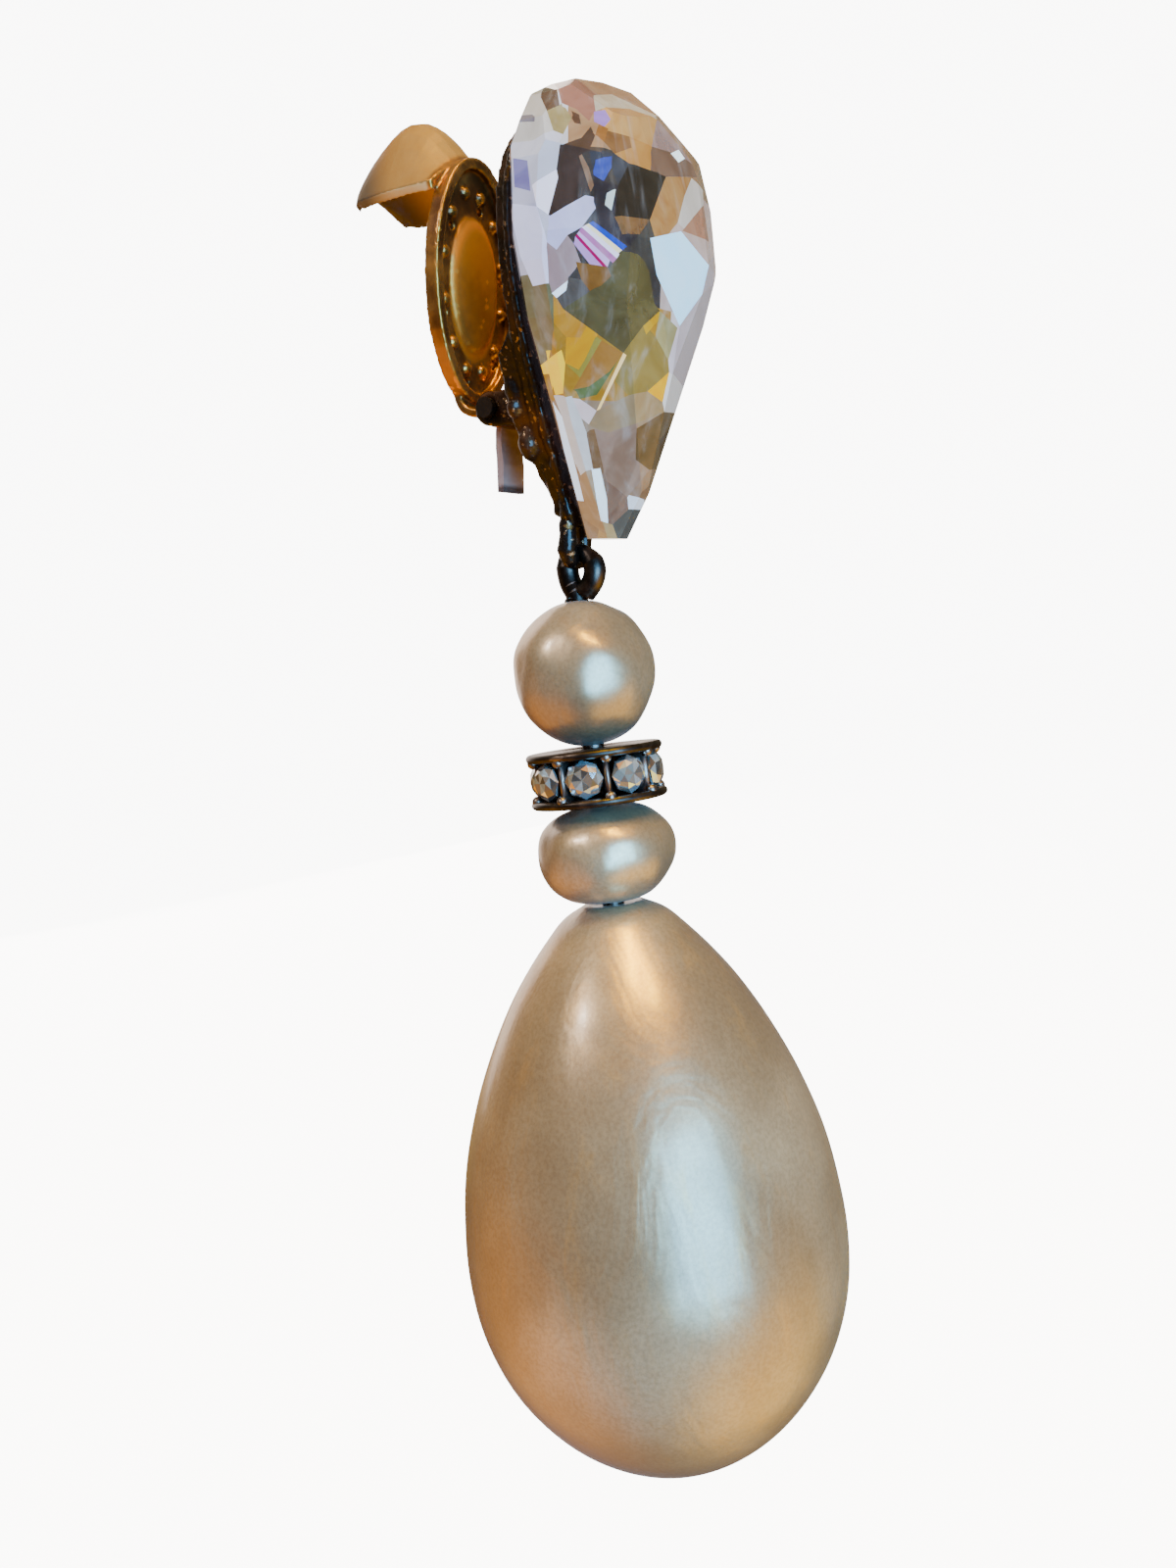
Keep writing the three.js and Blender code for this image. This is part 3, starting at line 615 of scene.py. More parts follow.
def strip_finish():
    finish = Finish("pink metal strip")
    fine = finish.noise(1800.0, 4.0, 0.6, (0.3, 1, 1))
    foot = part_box("spring_leaf")[0].z
    end = 1.0 - finish.axis("Z").rise(foot + 0.25 * MM, foot + 0.7 * MM)
    body = finish.mix(fine, paint("a5837a"), paint("c4a399"))
    return finish.dress(
        Base_Color=finish.mix(end * 0.85, body, paint("3e2822")),
        Metallic=0.35,
        Roughness=0.6 + fine * 0.1,
        Specular_IOR_Level=0.25,
        Normal=finish.bump(fine, 0.1, 0.04 * MM),
    )


def gunmetal_finish():
    finish = Finish("gunmetal")
    patch = finish.noise(500.0, 4.0, 0.6)
    fine = finish.noise(3000.0, 3.0, 0.6)
    body = finish.mix(patch.rise(0.4, 0.65), paint("1f1916"), paint("4e423c"))
    body = finish.mix(finish.wear(0.52, 0.6) * 0.8, body, paint("8c7a70"))
    return finish.dress(
        Base_Color=body,
        Metallic=0.95,
        Roughness=0.28 + fine * 0.18,
        Normal=finish.bump(fine, 0.15, 0.04 * MM),
    )


def iron_finish():
    finish = Finish("dark iron pin")
    fine = finish.noise(1800.0, 4.0, 0.6)
    return finish.dress(
        Base_Color=finish.mix(fine, paint("140d09"), paint("2e1f15")),
        Metallic=0.7,
        Roughness=0.5 + fine * 0.15,
        Normal=finish.bump(fine, 0.3, 0.05 * MM),
    )


old_solder = solder_finish()
dark_iron = iron_finish()
antique_brass = clip_finish()
pink_strip = strip_finish()
gunmetal = gunmetal_finish()
print("metals:", [part.name for part in (old_solder, dark_iron, antique_brass, pink_strip, gunmetal)])


# %% [markdown]
# ## Worn copies
#
# Sheet metal and solder have no sharp edges: tumbling, plating and years of handling round
# them. One way is to bevel every edge; with solder blobs running into each other a voxel
# remesh is simpler. It wraps the CAD shape in a fine even skin, smoothing melts the steps, and
# noise can then push the skin into lumps.

# %% Remesh, smooth and crumple
def worn_copy(name, node, body, material, voxel, smoothing, crumple):
    """A copy of a CAD node in an even skin, softened and pushed into lumps."""
    mesh = nodes[node].data.copy()
    mesh.name = name
    mesh.materials.clear()
    piece = add_piece(name, mesh, body, material)
    bpy.context.view_layer.objects.active = piece
    wrap = piece.modifiers.new("wrap", "REMESH")
    wrap.mode = "VOXEL"
    wrap.voxel_size = voxel
    melt = piece.modifiers.new("melt", "SMOOTH")
    melt.factor = 0.5
    melt.iterations = smoothing
    depsgraph = bpy.context.evaluated_depsgraph_get()
    done = bpy.data.meshes.new_from_object(piece.evaluated_get(depsgraph))
    piece.modifiers.clear()
    piece.data = done
    done.name = name
    done.materials.clear()
    done.materials.append(material)
    for vertex, normal in zip(done.vertices, [v.normal.copy() for v in done.vertices]):
        vertex.co += normal * crumple(vertex.co)
    done.polygons.foreach_set("use_smooth", [True] * len(done.polygons))
    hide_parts(node)
    print(name, len(done.polygons), "faces")
    return piece


def crust(point):
    """Lumps that grow towards the foot, with a thick coat of solder on the ring."""
    lumps = noise.noise(point / (1.3 * MM)) * 0.16 + noise.noise(point / (0.45 * MM)) * 0.07
    low = min(1.0, max(0.25, (-point.z / MM - 4) / 9))
    solder = 0.28 * min(1.0, max(0.0, -point.z / MM - 17))
    return (lumps * low + solder) * MM


def dent(point):
    """Shallow dents, as on thin sheet."""
    return noise.noise(point / (2.2 * MM)) * 0.05 * MM


setting = worn_copy("soldered_setting", "setting", "front", old_solder, 0.17 * MM, 5, crust)
clip = worn_copy("clip", "clip_paddle", "clip", antique_brass, 0.105 * MM, 6, dent)

# %% [markdown]
# ## Pin, strip and wire
#
# The hinge's pin has the right shape already. It keeps its node and gets rounded edges from a
# bevel, which is lighter than modelling them. The strip runs up out of sight into the bracket,
# so its copy is drawn up a little at the top. The eye is wire that was bent by hand and has
# crusted over, so it is swept anew along its loop, thicker at the foot.


# %% Small metal parts
STRIP_RISE = 1.1 * MM


def round_edges(part, width):
    bevel = part.modifiers.new("round", "BEVEL")
    bevel.width = width
    bevel.segments = 3
    bevel.limit_method = "ANGLE"
    bevel.angle_limit = math.radians(40)


nodes["hinge_pin"].data.materials.clear()
nodes["hinge_pin"].data.materials.append(dark_iron)
round_edges(nodes["hinge_pin"], 0.08 * MM)


def long_strip():
    """The spring's strip, drawn up into the dark bracket that it is riveted under."""
    mesh = nodes["spring_leaf"].data.copy()
    mesh.name = "pink_strip"
    mesh.materials.clear()
    low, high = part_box("spring_leaf")
    for vertex in mesh.vertices:
        if vertex.co.z > (low.z + high.z) / 2:
            vertex.co.z += STRIP_RISE
    strip = add_piece("pink_strip", mesh, "front", pink_strip, smooth=False)
    round_edges(strip, 0.1 * MM)
    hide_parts("spring_leaf")


long_strip()
print("pin and strip dressed")


# %% Eye pin
EYE_PATH = [
    (0.31, -1), (0.37, -0.86), (0.92, -0.62), (1, -0.38), (0.66, -0.1),
    (0, 0), (-0.66, -0.1), (-1, -0.38), (-0.8, -0.64), (-0.15, -0.87),
]


def eye_wire():
    """The loop's wire, bent in one plane, and the straight shank below it."""
    low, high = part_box("eye_pin")
    thick = 0.35 * MM
    swell = 1.3
    wide = 1.5 * MM
    tall = 3.9 * MM
    forward = 0.5 * MM
    slant = 0.45 * MM
    top = high.z - thick
    loop = []
    for side, down in EYE_PATH:
        skew = slant * math.sin(math.pi * -down)
        loop.append((string_y - forward + side * wide * (0.8 + 0.1 * down) - skew, top + down * tall))
    shank = [(string_y, low.z + share * (loop[0][1] - low.z)) for share in (0, 0.5, 0.95)]
    line = smooth_line(shank + loop, 220)
    rings = []
    for i, point in enumerate(line):
        ahead = line[min(i + 1, len(line) - 1)] - line[max(i - 1, 0)]
        across = Vector((0, -ahead.y, ahead.x)).normalized()
        below = min(1.0, max(0.0, (top - point.y) / (1.2 * MM)))
        radius = thick * min(1.0, 0.25 + 0.3 * min(i, len(line) - 1 - i)) * (1 + swell * below)
        ring = []
        for k in range(20):
            turn = 2 * math.pi * k / 20
            outward = Vector((1, 0, 0)) * math.cos(turn) + across * math.sin(turn)
            ring.append(Vector((0, point.x, point.y)) + outward * radius)
        rings.append(ring)
    mesh = mesh_from_rings("eye_wire", rings, closed_along=False)
    wire = add_piece("eye_wire", mesh, "drop", gunmetal)
    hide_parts("eye_pin")
    print("eye wire:", len(mesh.polygons), "faces")


eye_wire()


# %% [markdown]
# ## The rondelle
#
# A rondelle is two thin flanges pressed round a ring of foil-backed rhinestones. The flanges'
# edges are rounded, with a small claw and a short post between the stones. Each stone is turned
# with eight sides: a flat table, a crown and a foiled back. Foil makes some facets blaze and
# leaves others dark, so each facet is painted with its own reflection, bright or dark, picked at
# random, and painted glints lie on top.

# %% Rondelle body
STONE_COUNT = 8
STONE_START = 0.44
POST_RADIUS = 0.5 * MM
POST_REACH = 3.75 * MM
CLAW_RADIUS = 0.42 * MM
CLAW_INSET = 0.45 * MM


def rondelle_body():
    low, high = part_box("rondelle_ring")
    edge = (high.x - low.x) / 2
    barrel = 2.5 * MM
    sheet = 0.6 * MM
    soft = 0.16 * MM
    profile = [(BORE, low.z)]

    def lip(inner_z, outer_z):
        middle_z = (inner_z + outer_z) / 2
        reach = abs(outer_z - inner_z) / 2
        sign = 1 if outer_z > inner_z else -1
        return [
            (edge - reach + reach * math.cos(turn), middle_z + sign * reach * math.sin(turn))
            for turn in np.linspace(-math.pi / 2, math.pi / 2, 9)
        ]

    profile += lip(low.z, low.z + sheet)
    profile += [(barrel + soft, low.z + sheet), (barrel, low.z + sheet + soft)]
    profile += [(barrel, high.z - sheet - soft), (barrel + soft, high.z - sheet)]
    profile += lip(high.z - sheet, high.z)
    profile += [(BORE, high.z)]
    mesh = mesh_from_rings("rondelle_body", turned_rings(profile, 96))
    bm = bmesh.new()
    bm.from_mesh(mesh)
    post_height = high.z - low.z - 1.6 * sheet
    for i in range(STONE_COUNT):
        turn = 2 * math.pi * (i + 0.5 + STONE_START) / STONE_COUNT
        out = Matrix.Rotation(turn, 4, "Z")
        sizes = {"radius1": POST_RADIUS, "radius2": POST_RADIUS, "depth": post_height}
        post = bmesh.ops.create_cone(bm, segments=10, cap_ends=True, **sizes)["verts"]
        centre = Matrix.Translation((0, string_y, (low.z + high.z) / 2))
        shift = centre @ out @ Matrix.Translation((POST_REACH, 0, 0))
        bmesh.ops.transform(bm, matrix=shift @ Matrix.Diagonal((1.5, 0.6, 1, 1)), verts=post)
        for z in (low.z + sheet, high.z - sheet):
            claw = bmesh.ops.create_uvsphere(bm, u_segments=12, v_segments=8, radius=CLAW_RADIUS)["verts"]
            reach = edge - CLAW_INSET
            place = Vector((math.cos(turn) * reach, string_y + math.sin(turn) * reach, z))
            bmesh.ops.translate(bm, verts=claw, vec=place)
    bm.to_mesh(mesh)
    bm.free()
    body = add_piece("rondelle_body", mesh, "drop", gunmetal)
    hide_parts("rondelle_ring")
    return body


def store_painted_reflections(mesh, painted_reflections):
    """Stores one painted reflection colour for each face, bright or dark, for a finish to read by name."""
    layer = mesh.color_attributes.new("facet painted reflection", "FLOAT_COLOR", "CORNER")
    for polygon, painted_reflection in zip(mesh.polygons, painted_reflections):
        for corner in polygon.loop_indices:
            layer.data[corner].color = painted_reflection


def rhinestone_finish():
    finish = Finish("foiled rhinestone")
    painted_reflection = finish.node("ShaderNodeAttribute", {"attribute_name": "facet painted reflection"}, None, "Color")
    glint = finish.noise(900.0, 2.0)
    return finish.dress(
        # Painted glints: white specks from noise over the facets.
        Base_Color=finish.mix(glint * 0.25, painted_reflection, paint("ffffff")),
        Metallic=0.8,
        Roughness=0.06,
        Coat_Weight=1.0,
        Coat_Roughness=0.02,
        IOR=1.6,
    )


# Painted reflections: pale facets stand for light blazing off the foil, dark ones for where none comes back.
STONE_PAINTED_REFLECTIONS = ["dff2fa", "8c8074", "f4fbff", "3a322c", "c2a184", "b9d4de", "5b5048", "eef8fc", "cfc0ac"]
foiled = rhinestone_finish()
chance = random.Random(4)


def rhinestone(index):
    node = f"rondelle_stone_{index + 1}"
    low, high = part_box("rondelle_ring")
    face = (high.x - low.x) / 2 - 0.15 * MM
    girdle = 1.4 * MM
    sections = [
        (0.02 * MM, face - 1.9 * MM, 0), (girdle, face - 0.75 * MM, 0), (girdle, face - 0.6 * MM, 0),
        (girdle * 0.8, face - 0.26 * MM, 0.5), (girdle * 0.55, face, 0), (0.02 * MM, face, 0),
    ]
    turn = 2 * math.pi * (index + STONE_START) / STONE_COUNT
    out = Vector((-math.sin(turn), math.cos(turn), 0))
    side = Vector((math.cos(turn), math.sin(turn), 0))
    rings = []
    for radius, reach, shift in sections:
        ring = []
        for k in range(8):
            angle = 2 * math.pi * (k + shift) / 8
            point = out * reach + side * radius * math.cos(angle) + Vector((0, 0, radius * math.sin(angle)))
            ring.append(point + Vector((0, string_y, (low.z + high.z) / 2)))
        rings.append(ring)
    mesh = mesh_from_rings(f"rhinestone_{index + 1}", rings, closed_along=False)
    bm = bmesh.new()
    bm.from_mesh(mesh)
    bmesh.ops.triangulate(bm, faces=[f for f in bm.faces])
    bmesh.ops.recalc_face_normals(bm, faces=bm.faces)
    bm.to_mesh(mesh)
    bm.free()
    store_painted_reflections(mesh, [paint(chance.choice(STONE_PAINTED_REFLECTIONS)) for _ in mesh.polygons])
    stone = add_piece(f"rhinestone_{index + 1}", mesh, "drop", foiled, smooth=False)
    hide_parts(node)


rondelle_body()
for index in range(STONE_COUNT):
    rhinestone(index)
print("rondelle: body and", STONE_COUNT, "stones")

# %% [markdown]
# ## The crystal
#
# The cut is the CAD's: a table, main facets and two rows round the girdle. What makes a
# crystal read as crystal, though, is the mosaic inside it, where each front facet shows the
# back facets and the brass behind them as flat patches of light and dark. Tracing that with
# pure refraction is slow and noisy. So the front is scored along the patches' edges, which
# changes no shape, and each patch is painted with its own light and shade, a painted reflection,
# and takes a slightly different lean, for its own gleam. The table is painted pale blue, a
# painted reflection of the window, and the palest patches glow a little, as painted light. A
# quarter of the light still passes through, which keeps some depth.

# %% Patches of the mosaic
# A painted reflection and the patch's corners as seen from the photo's side: shares of half the width
# across, and of the height up from the tip. The first patch that holds a place gives it its painted
# reflection, so the wide ones at the end only fill what the others leave.
PATCHES = [
    ("eaf4f2", [(1.08, 0.859), (1.14, 0.88), (1.19, 0.866), (1.14, 0.847)]),
    ("a684c8", [(0.56, 0.881), (0.63, 0.888), (0.66, 0.868), (0.62, 0.849), (0.56, 0.858)]),
    ("352c22", [(0.79, 0.785), (1.04, 0.794), (0.92, 0.676), (0.69, 0.663), (0.71, 0.729)]),
    ("cfc2b4", [(1.24, 0.829), (1.34, 0.823), (1.34, 0.783), (1.17, 0.691), (1.12, 0.697), (1.18, 0.773)]),
    ("c0905f", [
        (1.04, 0.794), (1.24, 0.829), (1.18, 0.773), (1.12, 0.697), (1.05, 0.66), (0.97, 0.624),
        (0.92, 0.676),
    ]),
    ("b98a70", [(1.34, 0.783), (1.38, 0.698), (1.17, 0.684), (1.17, 0.691)]),
    ("cf9f68", [
        (0.59, 0.852), (0.61, 0.89), (0.79, 0.921), (0.98, 0.922), (0.94, 0.848), (0.79, 0.844),
        (0.66, 0.84),
    ]),
    ("9a6c48", [(0.56, 0.829), (0.59, 0.852), (0.66, 0.84), (0.79, 0.844), (0.79, 0.819), (0.69, 0.795)]),
    ("c8925a", [(0.79, 0.844), (0.94, 0.848), (0.93, 0.792), (0.79, 0.785), (0.69, 0.795), (0.79, 0.819)]),
    ("b3948a", [(0.89, 0.908), (1, 0.921), (1.25, 0.867), (1.13, 0.866), (0.94, 0.848), (0.98, 0.922)]),
    ("8f6c58", [(0.94, 0.848), (1.13, 0.866), (1.25, 0.867), (1.28, 0.839), (1.04, 0.794), (0.93, 0.792)]),
    ("bfae96", [
        (0.56, 0.928), (0.68, 0.958), (1, 0.932), (0.98, 0.922), (0.79, 0.921), (0.61, 0.89), (0.57, 0.882),
    ]),
    ("a67464", [
        (0.31, 0.971), (0.48, 0.966), (0.58, 0.931), (0.57, 0.882), (0.53, 0.859), (0.45, 0.884),
        (0.36, 0.895),
    ]),
    ("6a5446", [(0.24, 0.962), (0.33, 0.928), (0.35, 0.886), (0.27, 0.874), (0.23, 0.916)]),
    ("a8966c", [(0.27, 0.874), (0.36, 0.895), (0.42, 0.861), (0.37, 0.823), (0.31, 0.83)]),
    ("5a4238", [(0.42, 0.879), (0.48, 0.876), (0.48, 0.849), (0.43, 0.852)]),
    ("8c8690", [(-0.01, 0.885), (0.18, 0.872), (0.18, 0.854), (-0.01, 0.867)]),
    ("c4beb8", [
        (-0.03, 0.821), (-0.02, 0.897), (0.09, 0.937), (0.24, 0.971), (0.31, 0.933), (0.27, 0.874),
        (0.31, 0.83), (0.18, 0.811),
    ]),
    ("cdc8ce", [
        (-0.03, 0.821), (0.18, 0.811), (0.31, 0.83), (0.37, 0.823), (0.35, 0.797), (0.33, 0.751),
        (0.18, 0.72), (0.15, 0.771), (-0.01, 0.79),
    ]),
    ("9a92c0", [(0.06, 0.782), (0.15, 0.776), (0.17, 0.709), (0.07, 0.723)]),
    ("c4bfce", [(-0.03, 0.78), (0.15, 0.771), (0.18, 0.72), (0.21, 0.676), (0.05, 0.691)]),
    ("e6dfe8", [(0.18, 0.72), (0.33, 0.751), (0.34, 0.735), (0.28, 0.661), (0.21, 0.676)]),
    ("a07e66", [(0.47, 0.776), (0.49, 0.78), (0.53, 0.757), (0.56, 0.723), (0.54, 0.709)]),
    ("5a66b0", [(0.57, 0.774), (0.67, 0.788), (0.67, 0.763), (0.62, 0.732), (0.56, 0.743)]),
    ("47484e", [
        (0.53, 0.79), (0.69, 0.795), (0.79, 0.785), (0.71, 0.729), (0.67, 0.763), (0.67, 0.788),
        (0.57, 0.774), (0.56, 0.743),
    ]),
    ("c9d4cc", [(0.64, 0.709), (0.7, 0.72), (0.67, 0.678), (0.63, 0.689)]),
    ("cbc4dc", [
        (0.28, 0.657), (0.36, 0.674), (0.5, 0.703), (0.56, 0.7), (0.57, 0.677), (0.49, 0.641), (0.4, 0.624),
        (0.33, 0.594), (0.27, 0.608),
    ]),
    ("4a3a34", [
        (0.35, 0.797), (0.48, 0.817), (0.54, 0.846), (0.57, 0.831), (0.53, 0.79), (0.49, 0.78),
        (0.56, 0.723), (0.5, 0.703), (0.36, 0.674), (0.28, 0.657), (0.34, 0.735),
    ]),
    ("4a63c8", [(0.52, 0.649), (0.55, 0.653), (0.77, 0.607), (0.74, 0.599)]),
    ("f0e0b8", [(0.51, 0.643), (0.52, 0.649), (0.74, 0.599), (0.72, 0.592)]),
    ("e6dcec", [(0.49, 0.637), (0.51, 0.643), (0.72, 0.592), (0.71, 0.582)]),
    ("d884b4", [(0.47, 0.631), (0.49, 0.637), (0.71, 0.582), (0.68, 0.574)]),
    ("dcb4dc", [(0.46, 0.625), (0.47, 0.631), (0.68, 0.574), (0.64, 0.568)]),
    ("c8386c", [(0.45, 0.62), (0.46, 0.625), (0.64, 0.568), (0.62, 0.566)]),
    ("d0a0d0", [(0.44, 0.606), (0.45, 0.62), (0.62, 0.566), (0.54, 0.568)]),
    ("413a3c", [
        (0.56, 0.7), (0.56, 0.743), (0.62, 0.732), (0.71, 0.729), (0.69, 0.663), (0.74, 0.629),
        (0.85, 0.636), (0.79, 0.608), (0.55, 0.653), (0.49, 0.641), (0.57, 0.677),
    ]),
    ("8a6646", [(0.69, 0.663), (0.92, 0.676), (0.85, 0.636), (0.74, 0.629)]),
    ("4e4840", [(0.85, 0.636), (0.92, 0.676), (0.97, 0.624), (0.92, 0.567), (0.86, 0.594), (0.77, 0.604)]),
    ("94683f", [
        (0.45, 0.573), (0.56, 0.567), (0.66, 0.564), (0.66, 0.547), (0.6, 0.525), (0.54, 0.517),
        (0.48, 0.541),
    ]),
    ("e4eef4", [(0.3, 0.51), (0.4, 0.536), (0.39, 0.517), (0.33, 0.501)]),
    ("6c6056", [(0.39, 0.542), (0.48, 0.541), (0.54, 0.517), (0.37, 0.48), (0.33, 0.501), (0.39, 0.517)]),
    ("6e6240", [
        (0.37, 0.48), (0.54, 0.517), (0.6, 0.525), (0.66, 0.547), (0.66, 0.564), (0.74, 0.598),
        (0.86, 0.594), (0.92, 0.567), (0.96, 0.508), (1, 0.495), (0.89, 0.459), (0.76, 0.399),
    ]),
    ("6a5e3a", [(0.37, 0.48), (0.76, 0.399), (0.89, 0.459), (0.6, 0.495)]),
    ("b89c98", [
        (0.27, 0.608), (0.33, 0.594), (0.4, 0.624), (0.44, 0.606), (0.48, 0.573), (0.41, 0.542),
        (0.3, 0.51), (0.28, 0.536),
    ]),
    ("dcd6e6", [(0.03, 0.694), (0.21, 0.676), (0.27, 0.608), (0.28, 0.529), (0.18, 0.527), (0.1, 0.588)]),
    ("86805f", [(0.18, 0.527), (0.28, 0.533), (0.31, 0.51), (0.31, 0.453), (0.29, 0.412), (0.2, 0.475)]),
    ("d29a54", [(0.31, 0.51), (0.37, 0.48), (0.52, 0.448), (0.48, 0.426), (0.39, 0.425), (0.31, 0.453)]),
    ("dfa24a", [(0.39, 0.425), (0.52, 0.448), (0.59, 0.431), (0.53, 0.394), (0.47, 0.362), (0.39, 0.373)]),
    ("ffd24e", [(0.27, 0.382), (0.36, 0.4), (0.38, 0.367), (0.37, 0.313), (0.32, 0.311), (0.29, 0.343)]),
    ("b09c54", [(0.59, 0.431), (0.62, 0.424), (0.48, 0.346), (0.39, 0.373), (0.47, 0.362), (0.53, 0.394)]),
    ("f2cf98", [(0.75, 0.393), (0.77, 0.387), (0.62, 0.287), (0.59, 0.279)]),
    ("bb8450", [(0.62, 0.424), (0.76, 0.399), (0.67, 0.36), (0.54, 0.329), (0.45, 0.322), (0.48, 0.346)]),
    ("6f7c4a", [(0.45, 0.322), (0.54, 0.329), (0.67, 0.36), (0.76, 0.399), (0.59, 0.311), (0.48, 0.302)]),
    ("d8a850", [(1, 0.495), (0.99, 0.475), (0.91, 0.442), (0.89, 0.459)]),
    ("b0a072", [(0.99, 0.475), (1, 0.495), (1.13, 0.47), (1.07, 0.398), (0.98, 0.44)]),
    ("f4b41c", [(0.93, 0.326), (1.08, 0.374), (1.04, 0.308)]),
    ("a88a52", [
        (0.76, 0.399), (0.89, 0.459), (0.98, 0.44), (1.07, 0.398), (1.08, 0.374), (0.93, 0.326),
        (0.8, 0.313), (0.71, 0.341),
    ]),
    ("d4c4c4", [
        (1.13, 0.47), (1.42, 0.676), (1.42, 0.538), (1.36, 0.415), (1.29, 0.349), (1.18, 0.363),
        (1.08, 0.374), (1.07, 0.398),
    ]),
    ("dcd4cc", [(1.18, 0.363), (1.29, 0.349), (1.19, 0.301), (1.05, 0.287), (1.04, 0.308), (1.08, 0.374)]),
    ("dcc8c4", [(0.43, 0.306), (0.49, 0.302), (0.59, 0.279), (0.54, 0.25), (0.48, 0.265)]),
    ("b09270", [
        (0.59, 0.279), (0.8, 0.313), (0.93, 0.326), (1.04, 0.308), (1.05, 0.287), (0.87, 0.257),
        (0.67, 0.234), (0.54, 0.25),
    ]),
    ("5c4230", [(1.19, 0.301), (1.28, 0.337), (1.12, 0.226), (1.04, 0.165), (1.03, 0.225)]),
    ("8c6a4a", [
        (0.86, 0.244), (1.05, 0.287), (1.19, 0.301), (1.03, 0.225), (1.04, 0.165), (0.96, 0.157),
        (0.86, 0.177),
    ]),
    ("ae8c78", [
        (0.67, 0.234), (0.87, 0.257), (0.86, 0.177), (0.96, 0.157), (0.81, 0.094), (0.66, 0.132),
        (0.62, 0.185), (0.58, 0.237),
    ]),
    ("e0e8ee", [(0.3, 0.299), (0.36, 0.268), (0.44, 0.175), (0.51, 0.085), (0.45, 0.088), (0.36, 0.218)]),
    ("d0cac4", [
        (0.31, 0.311), (0.43, 0.306), (0.52, 0.237), (0.57, 0.157), (0.49, 0.141), (0.44, 0.175),
        (0.36, 0.268),
    ]),
    ("dff0f6", [(0.56, 0.157), (0.62, 0.158), (0.67, 0.089), (0.68, 0.035), (0.63, 0.04), (0.59, 0.099)]),
    ("bc9c7c", [(0.49, 0.141), (0.56, 0.157), (0.63, 0.04), (0.67, 0.008), (0.52, 0.045), (0.46, 0.087)]),
    ("957052", [
        (0.52, 0.237), (0.58, 0.237), (0.62, 0.185), (0.66, 0.132), (0.67, 0.089), (0.62, 0.158),
        (0.57, 0.157),
    ]),
    ("dadde0", [(0.81, 0.1), (0.93, 0.091), (0.93, 0.067), (0.82, 0.067)]),
    ("6e6a60", [(0.71, 0.031), (0.82, 0.067), (0.95, 0.067), (0.9, -0.01), (0.76, -0.01)]),
    ("c8a87c", [(0.63, 0.04), (0.71, 0.031), (0.76, -0.01), (0.6, -0.01)]),
    ("a07c68", [(0.66, 0.132), (0.81, 0.094), (0.82, 0.067), (0.71, 0.031), (0.68, 0.035), (0.67, 0.089)]),
    ("b48c6c", [(0.96, 0.157), (1.04, 0.165), (0.95, 0.06), (0.93, 0.091), (0.81, 0.094)]),
    ("c8c2c2", [(-0.1, 0.8), (0.4, 0.8), (0.4, 1), (-0.1, 1)]),
    ("b08a6a", [(0.4, 0.8), (1.5, 0.8), (1.5, 1), (0.4, 1)]),
    ("c8c2cc", [(-0.1, 0.55), (0.3, 0.55), (0.3, 0.8), (-0.1, 0.8)]),
    ("4e4640", [(0.3, 0.5), (1, 0.5), (1, 0.8), (0.3, 0.8)]),
    ("86805f", [(0.1, 0.4), (0.3, 0.4), (0.3, 0.55), (0.1, 0.55)]),
    ("c8b0a4", [(1, 0.5), (1.5, 0.5), (1.5, 0.8), (1, 0.8)]),
    ("c0904e", [(0.3, 0.3), (1.08, 0.3), (1.08, 0.5), (0.3, 0.5)]),
    ("d4c8c4", [(1.08, 0.3), (1.5, 0.3), (1.5, 0.5), (1.08, 0.5)]),
    ("b0947a", [(0.2, -0.05), (1.3, -0.05), (1.3, 0.3), (0.2, 0.3)]),
]
TABLE_PAINTED_REFLECTION = "bfecff"


across_line = Vector((math.cos(AZIMUTH), math.sin(AZIMUTH), 0))
view_line = Vector((-math.sin(AZIMUTH), math.cos(AZIMUTH), 0))
SIDES = [1, -1]
WINDOW_MIRROR = -44
WINDOW_SPREAD = 15
PATCH_LEAN = 0.09
FLAT_AHEAD = -0.9995
EDGE_ON = -0.03


def seen(point, side):
    """A place on the crystal in shares across and up, as seen from the left or from the right."""
    flat = upright @ point
    flat.x *= side
    return flat.dot(across_line) / STONE_HALF_WIDTH, (flat.z + STONE_TIP_DROP) / STONE_HEIGHT


def facing(normal, side):
    """Whether a face can be seen from that side."""
    flat = upright.to_3x3() @ normal
    flat.x *= side
    return flat.dot(view_line) < EDGE_ON


def inside(spot, corners):
    """Whether a place lies in a patch: a line running from it crosses the edges an odd number of times."""
    hit = False
    for (x1, y1), (x2, y2) in zip(corners, corners[1:] + corners[:1]):
        if (y1 > spot[1]) != (y2 > spot[1]):
            hit ^= spot[0] < x1 + (x2 - x1) * (spot[1] - y1) / (y2 - y1)
    return hit


def distance(spot, corners):
    """How far a place lies from the nearest edge of a patch."""
    tall = STONE_HEIGHT / STONE_HALF_WIDTH
    at = Vector((spot[0], spot[1] * tall))
    gaps = []
    for (x1, y1), (x2, y2) in zip(corners, corners[1:] + corners[:1]):
        start, end = Vector((x1, y1 * tall)), Vector((x2, y2 * tall))
        along = (at - start).dot(end - start) / (end - start).length_squared
        gaps.append((at - start.lerp(end, min(1.0, max(0.0, along)))).length)
    return min(gaps)


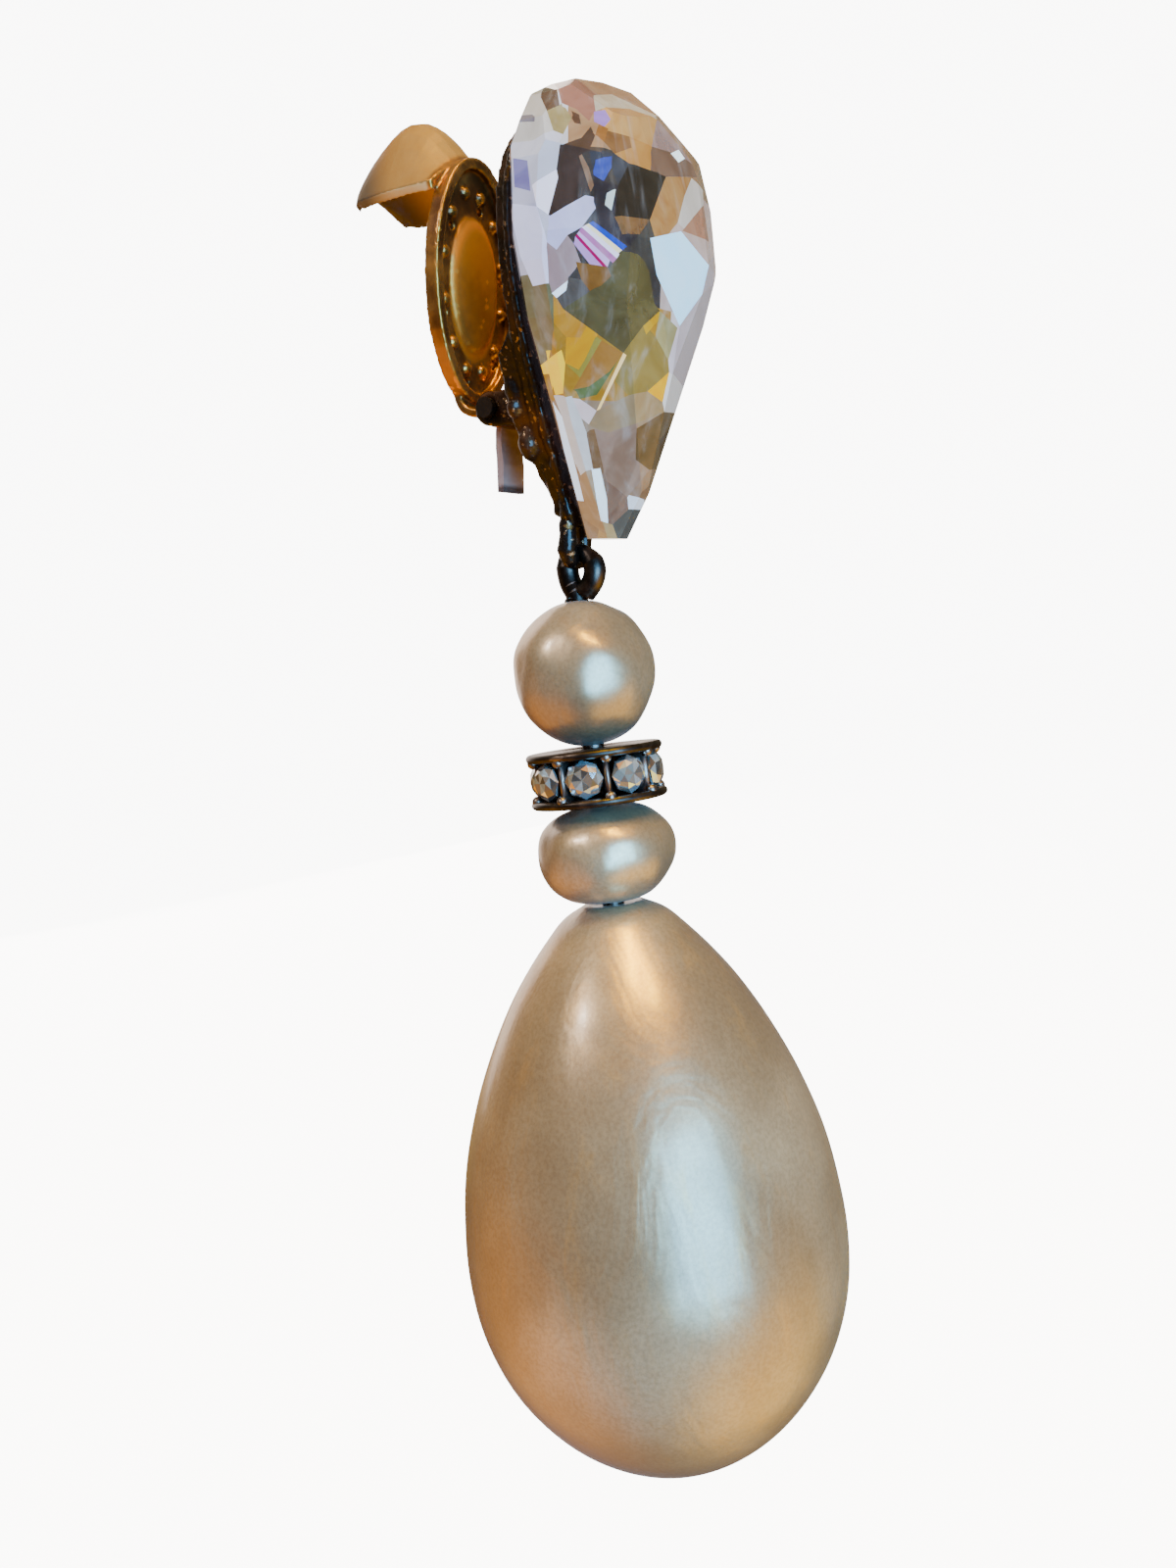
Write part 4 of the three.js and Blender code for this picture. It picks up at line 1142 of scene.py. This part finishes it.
def score(bm, corners, side):
    """Cuts the faces near a patch along the patch's edges."""
    for (x1, y1), (x2, y2) in zip(corners, corners[1:] + corners[:1]):
        near = []
        for face in bm.faces:
            if not facing(face.normal, side) or (side < 0 and facing(face.normal, 1)):
                continue
            spots = [seen(vertex.co, side) for vertex in face.verts]
            if max(p[0] for p in spots) < min(x1, x2) or min(p[0] for p in spots) > max(x1, x2):
                continue
            if max(p[1] for p in spots) < min(y1, y2) or min(p[1] for p in spots) > max(y1, y2):
                continue
            near.append(face)
        start = across_line * x1 * STONE_HALF_WIDTH + Vector((0, 0, y1 * STONE_HEIGHT - STONE_TIP_DROP))
        edge = across_line * (x2 - x1) * STONE_HALF_WIDTH + Vector((0, 0, (y2 - y1) * STONE_HEIGHT))
        plane = edge.cross(view_line)
        start.x *= side
        plane.x *= side
        geometry = near + list({e for f in near for e in f.edges}) + list({v for f in near for v in f.verts})
        bmesh.ops.bisect_plane(
            bm, geom=geometry, dist=1e-7, plane_co=leaning @ start, plane_no=leaning.to_3x3() @ plane)


def turned_from_window(normal):
    """A lean of the same patch that doesn't send the window's light to the camera."""
    azimuth = math.degrees(math.atan2(normal.x, -normal.y))
    off = azimuth - WINDOW_MIRROR
    if abs(off) > WINDOW_SPREAD:
        return normal
    return Matrix.Rotation(math.radians(WINDOW_SPREAD * (1 if off > 0 else -1) - off), 3, "Z") @ normal


def cut_crystal():
    """Scores both sides of the stone, then gives each face its patch's painted reflection and lean."""
    bm = bmesh.new()
    bm.from_mesh(nodes["stone"].data)
    bmesh.ops.remove_doubles(bm, verts=bm.verts, dist=1e-6)
    bmesh.ops.dissolve_limit(bm, angle_limit=math.radians(0.5), verts=bm.verts, edges=bm.edges)
    for side in SIDES:
        for _, corners in PATCHES:
            score(bm, corners, side)
    chance = random.Random(7)
    leans = [Vector([chance.uniform(-1, 1) for _ in range(3)]) * PATCH_LEAN for _ in PATCHES]
    bm.normal_update()
    painted_reflections, normals = [], []
    for face in bm.faces:
        normal = face.normal.copy()
        centre = face.calc_center_median()
        # Painted reflection: the flat table is painted pale blue, as if it mirrored the window card.
        if (upright.to_3x3() @ normal).y < FLAT_AHEAD:
            painted_reflection = paint(TABLE_PAINTED_REFLECTION)
        else:
            side = 1 if facing(normal, 1) else -1
            spot = seen(centre, side)
            held = [i for i, (_, corners) in enumerate(PATCHES) if inside(spot, corners)]
            nearest = min(range(len(PATCHES)), key=lambda i: distance(spot, PATCHES[i][1]))
            index = held[0] if held else nearest
            painted_reflection = paint(PATCHES[index][0])
            if facing(normal, side):
                normal = turned_from_window((normal + leans[index]).normalized())
        painted_reflections.append(painted_reflection)
        normals.append(normal)
    mesh = bpy.data.meshes.new("crystal")
    bm.to_mesh(mesh)
    bm.free()
    store_painted_reflections(mesh, painted_reflections)
    crystal = add_piece("crystal", mesh, "front", crystal_finish(), smooth=False)
    corner_normals = [None] * len(mesh.loops)
    for polygon, normal in zip(mesh.polygons, normals):
        for corner in polygon.loop_indices:
            corner_normals[corner] = normal
    mesh.normals_split_custom_set(corner_normals)
    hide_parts("stone")
    return crystal


# %% Crystal finish and cut
def crystal_finish():
    finish = Finish("cut crystal")
    painted_reflection = finish.node("ShaderNodeAttribute", {"attribute_name": "facet painted reflection"}, None, "Color")
    haze = finish.noise(260.0, 3.0, 0.55, distortion=1.5)
    streak = finish.noise(700.0, 3.0, 0.6, (1, 1, 0.2), 0.5)
    scratch = finish.noise(2500.0, 2.0, 0.5, (1, 1, 0.15))
    deep = finish.mix(1.0, painted_reflection, painted_reflection, "MULTIPLY")
    body = finish.mix(0.12 + haze.rise(0.35, 0.7) * 0.42, painted_reflection, deep)
    body = finish.mix(streak.rise(0.5, 0.78) * 0.2, body, paint("f2ece6"))
    body = finish.node("ShaderNodeHueSaturation", None, {"Saturation": 1.1, "Value": 0.96, "Color": body})
    # Painted light: the paler a patch's painted reflection, the more it glows by itself as emission.
    gleam = finish.node("ShaderNodeRGBToBW", None, {"Color": painted_reflection}) ** 2.0
    return finish.dress(
        Base_Color=body,
        Roughness=0.02 + scratch * 0.03,
        IOR=1.6,
        Transmission_Weight=0.25,
        Coat_Weight=0.5,
        Coat_Roughness=0.02,
        Emission_Color=finish.mix(gleam, paint("000000"), painted_reflection),
        Emission_Strength=1.3,
    )


crystal = cut_crystal()
print("crystal:", len(crystal.data.polygons), "faces after scoring")
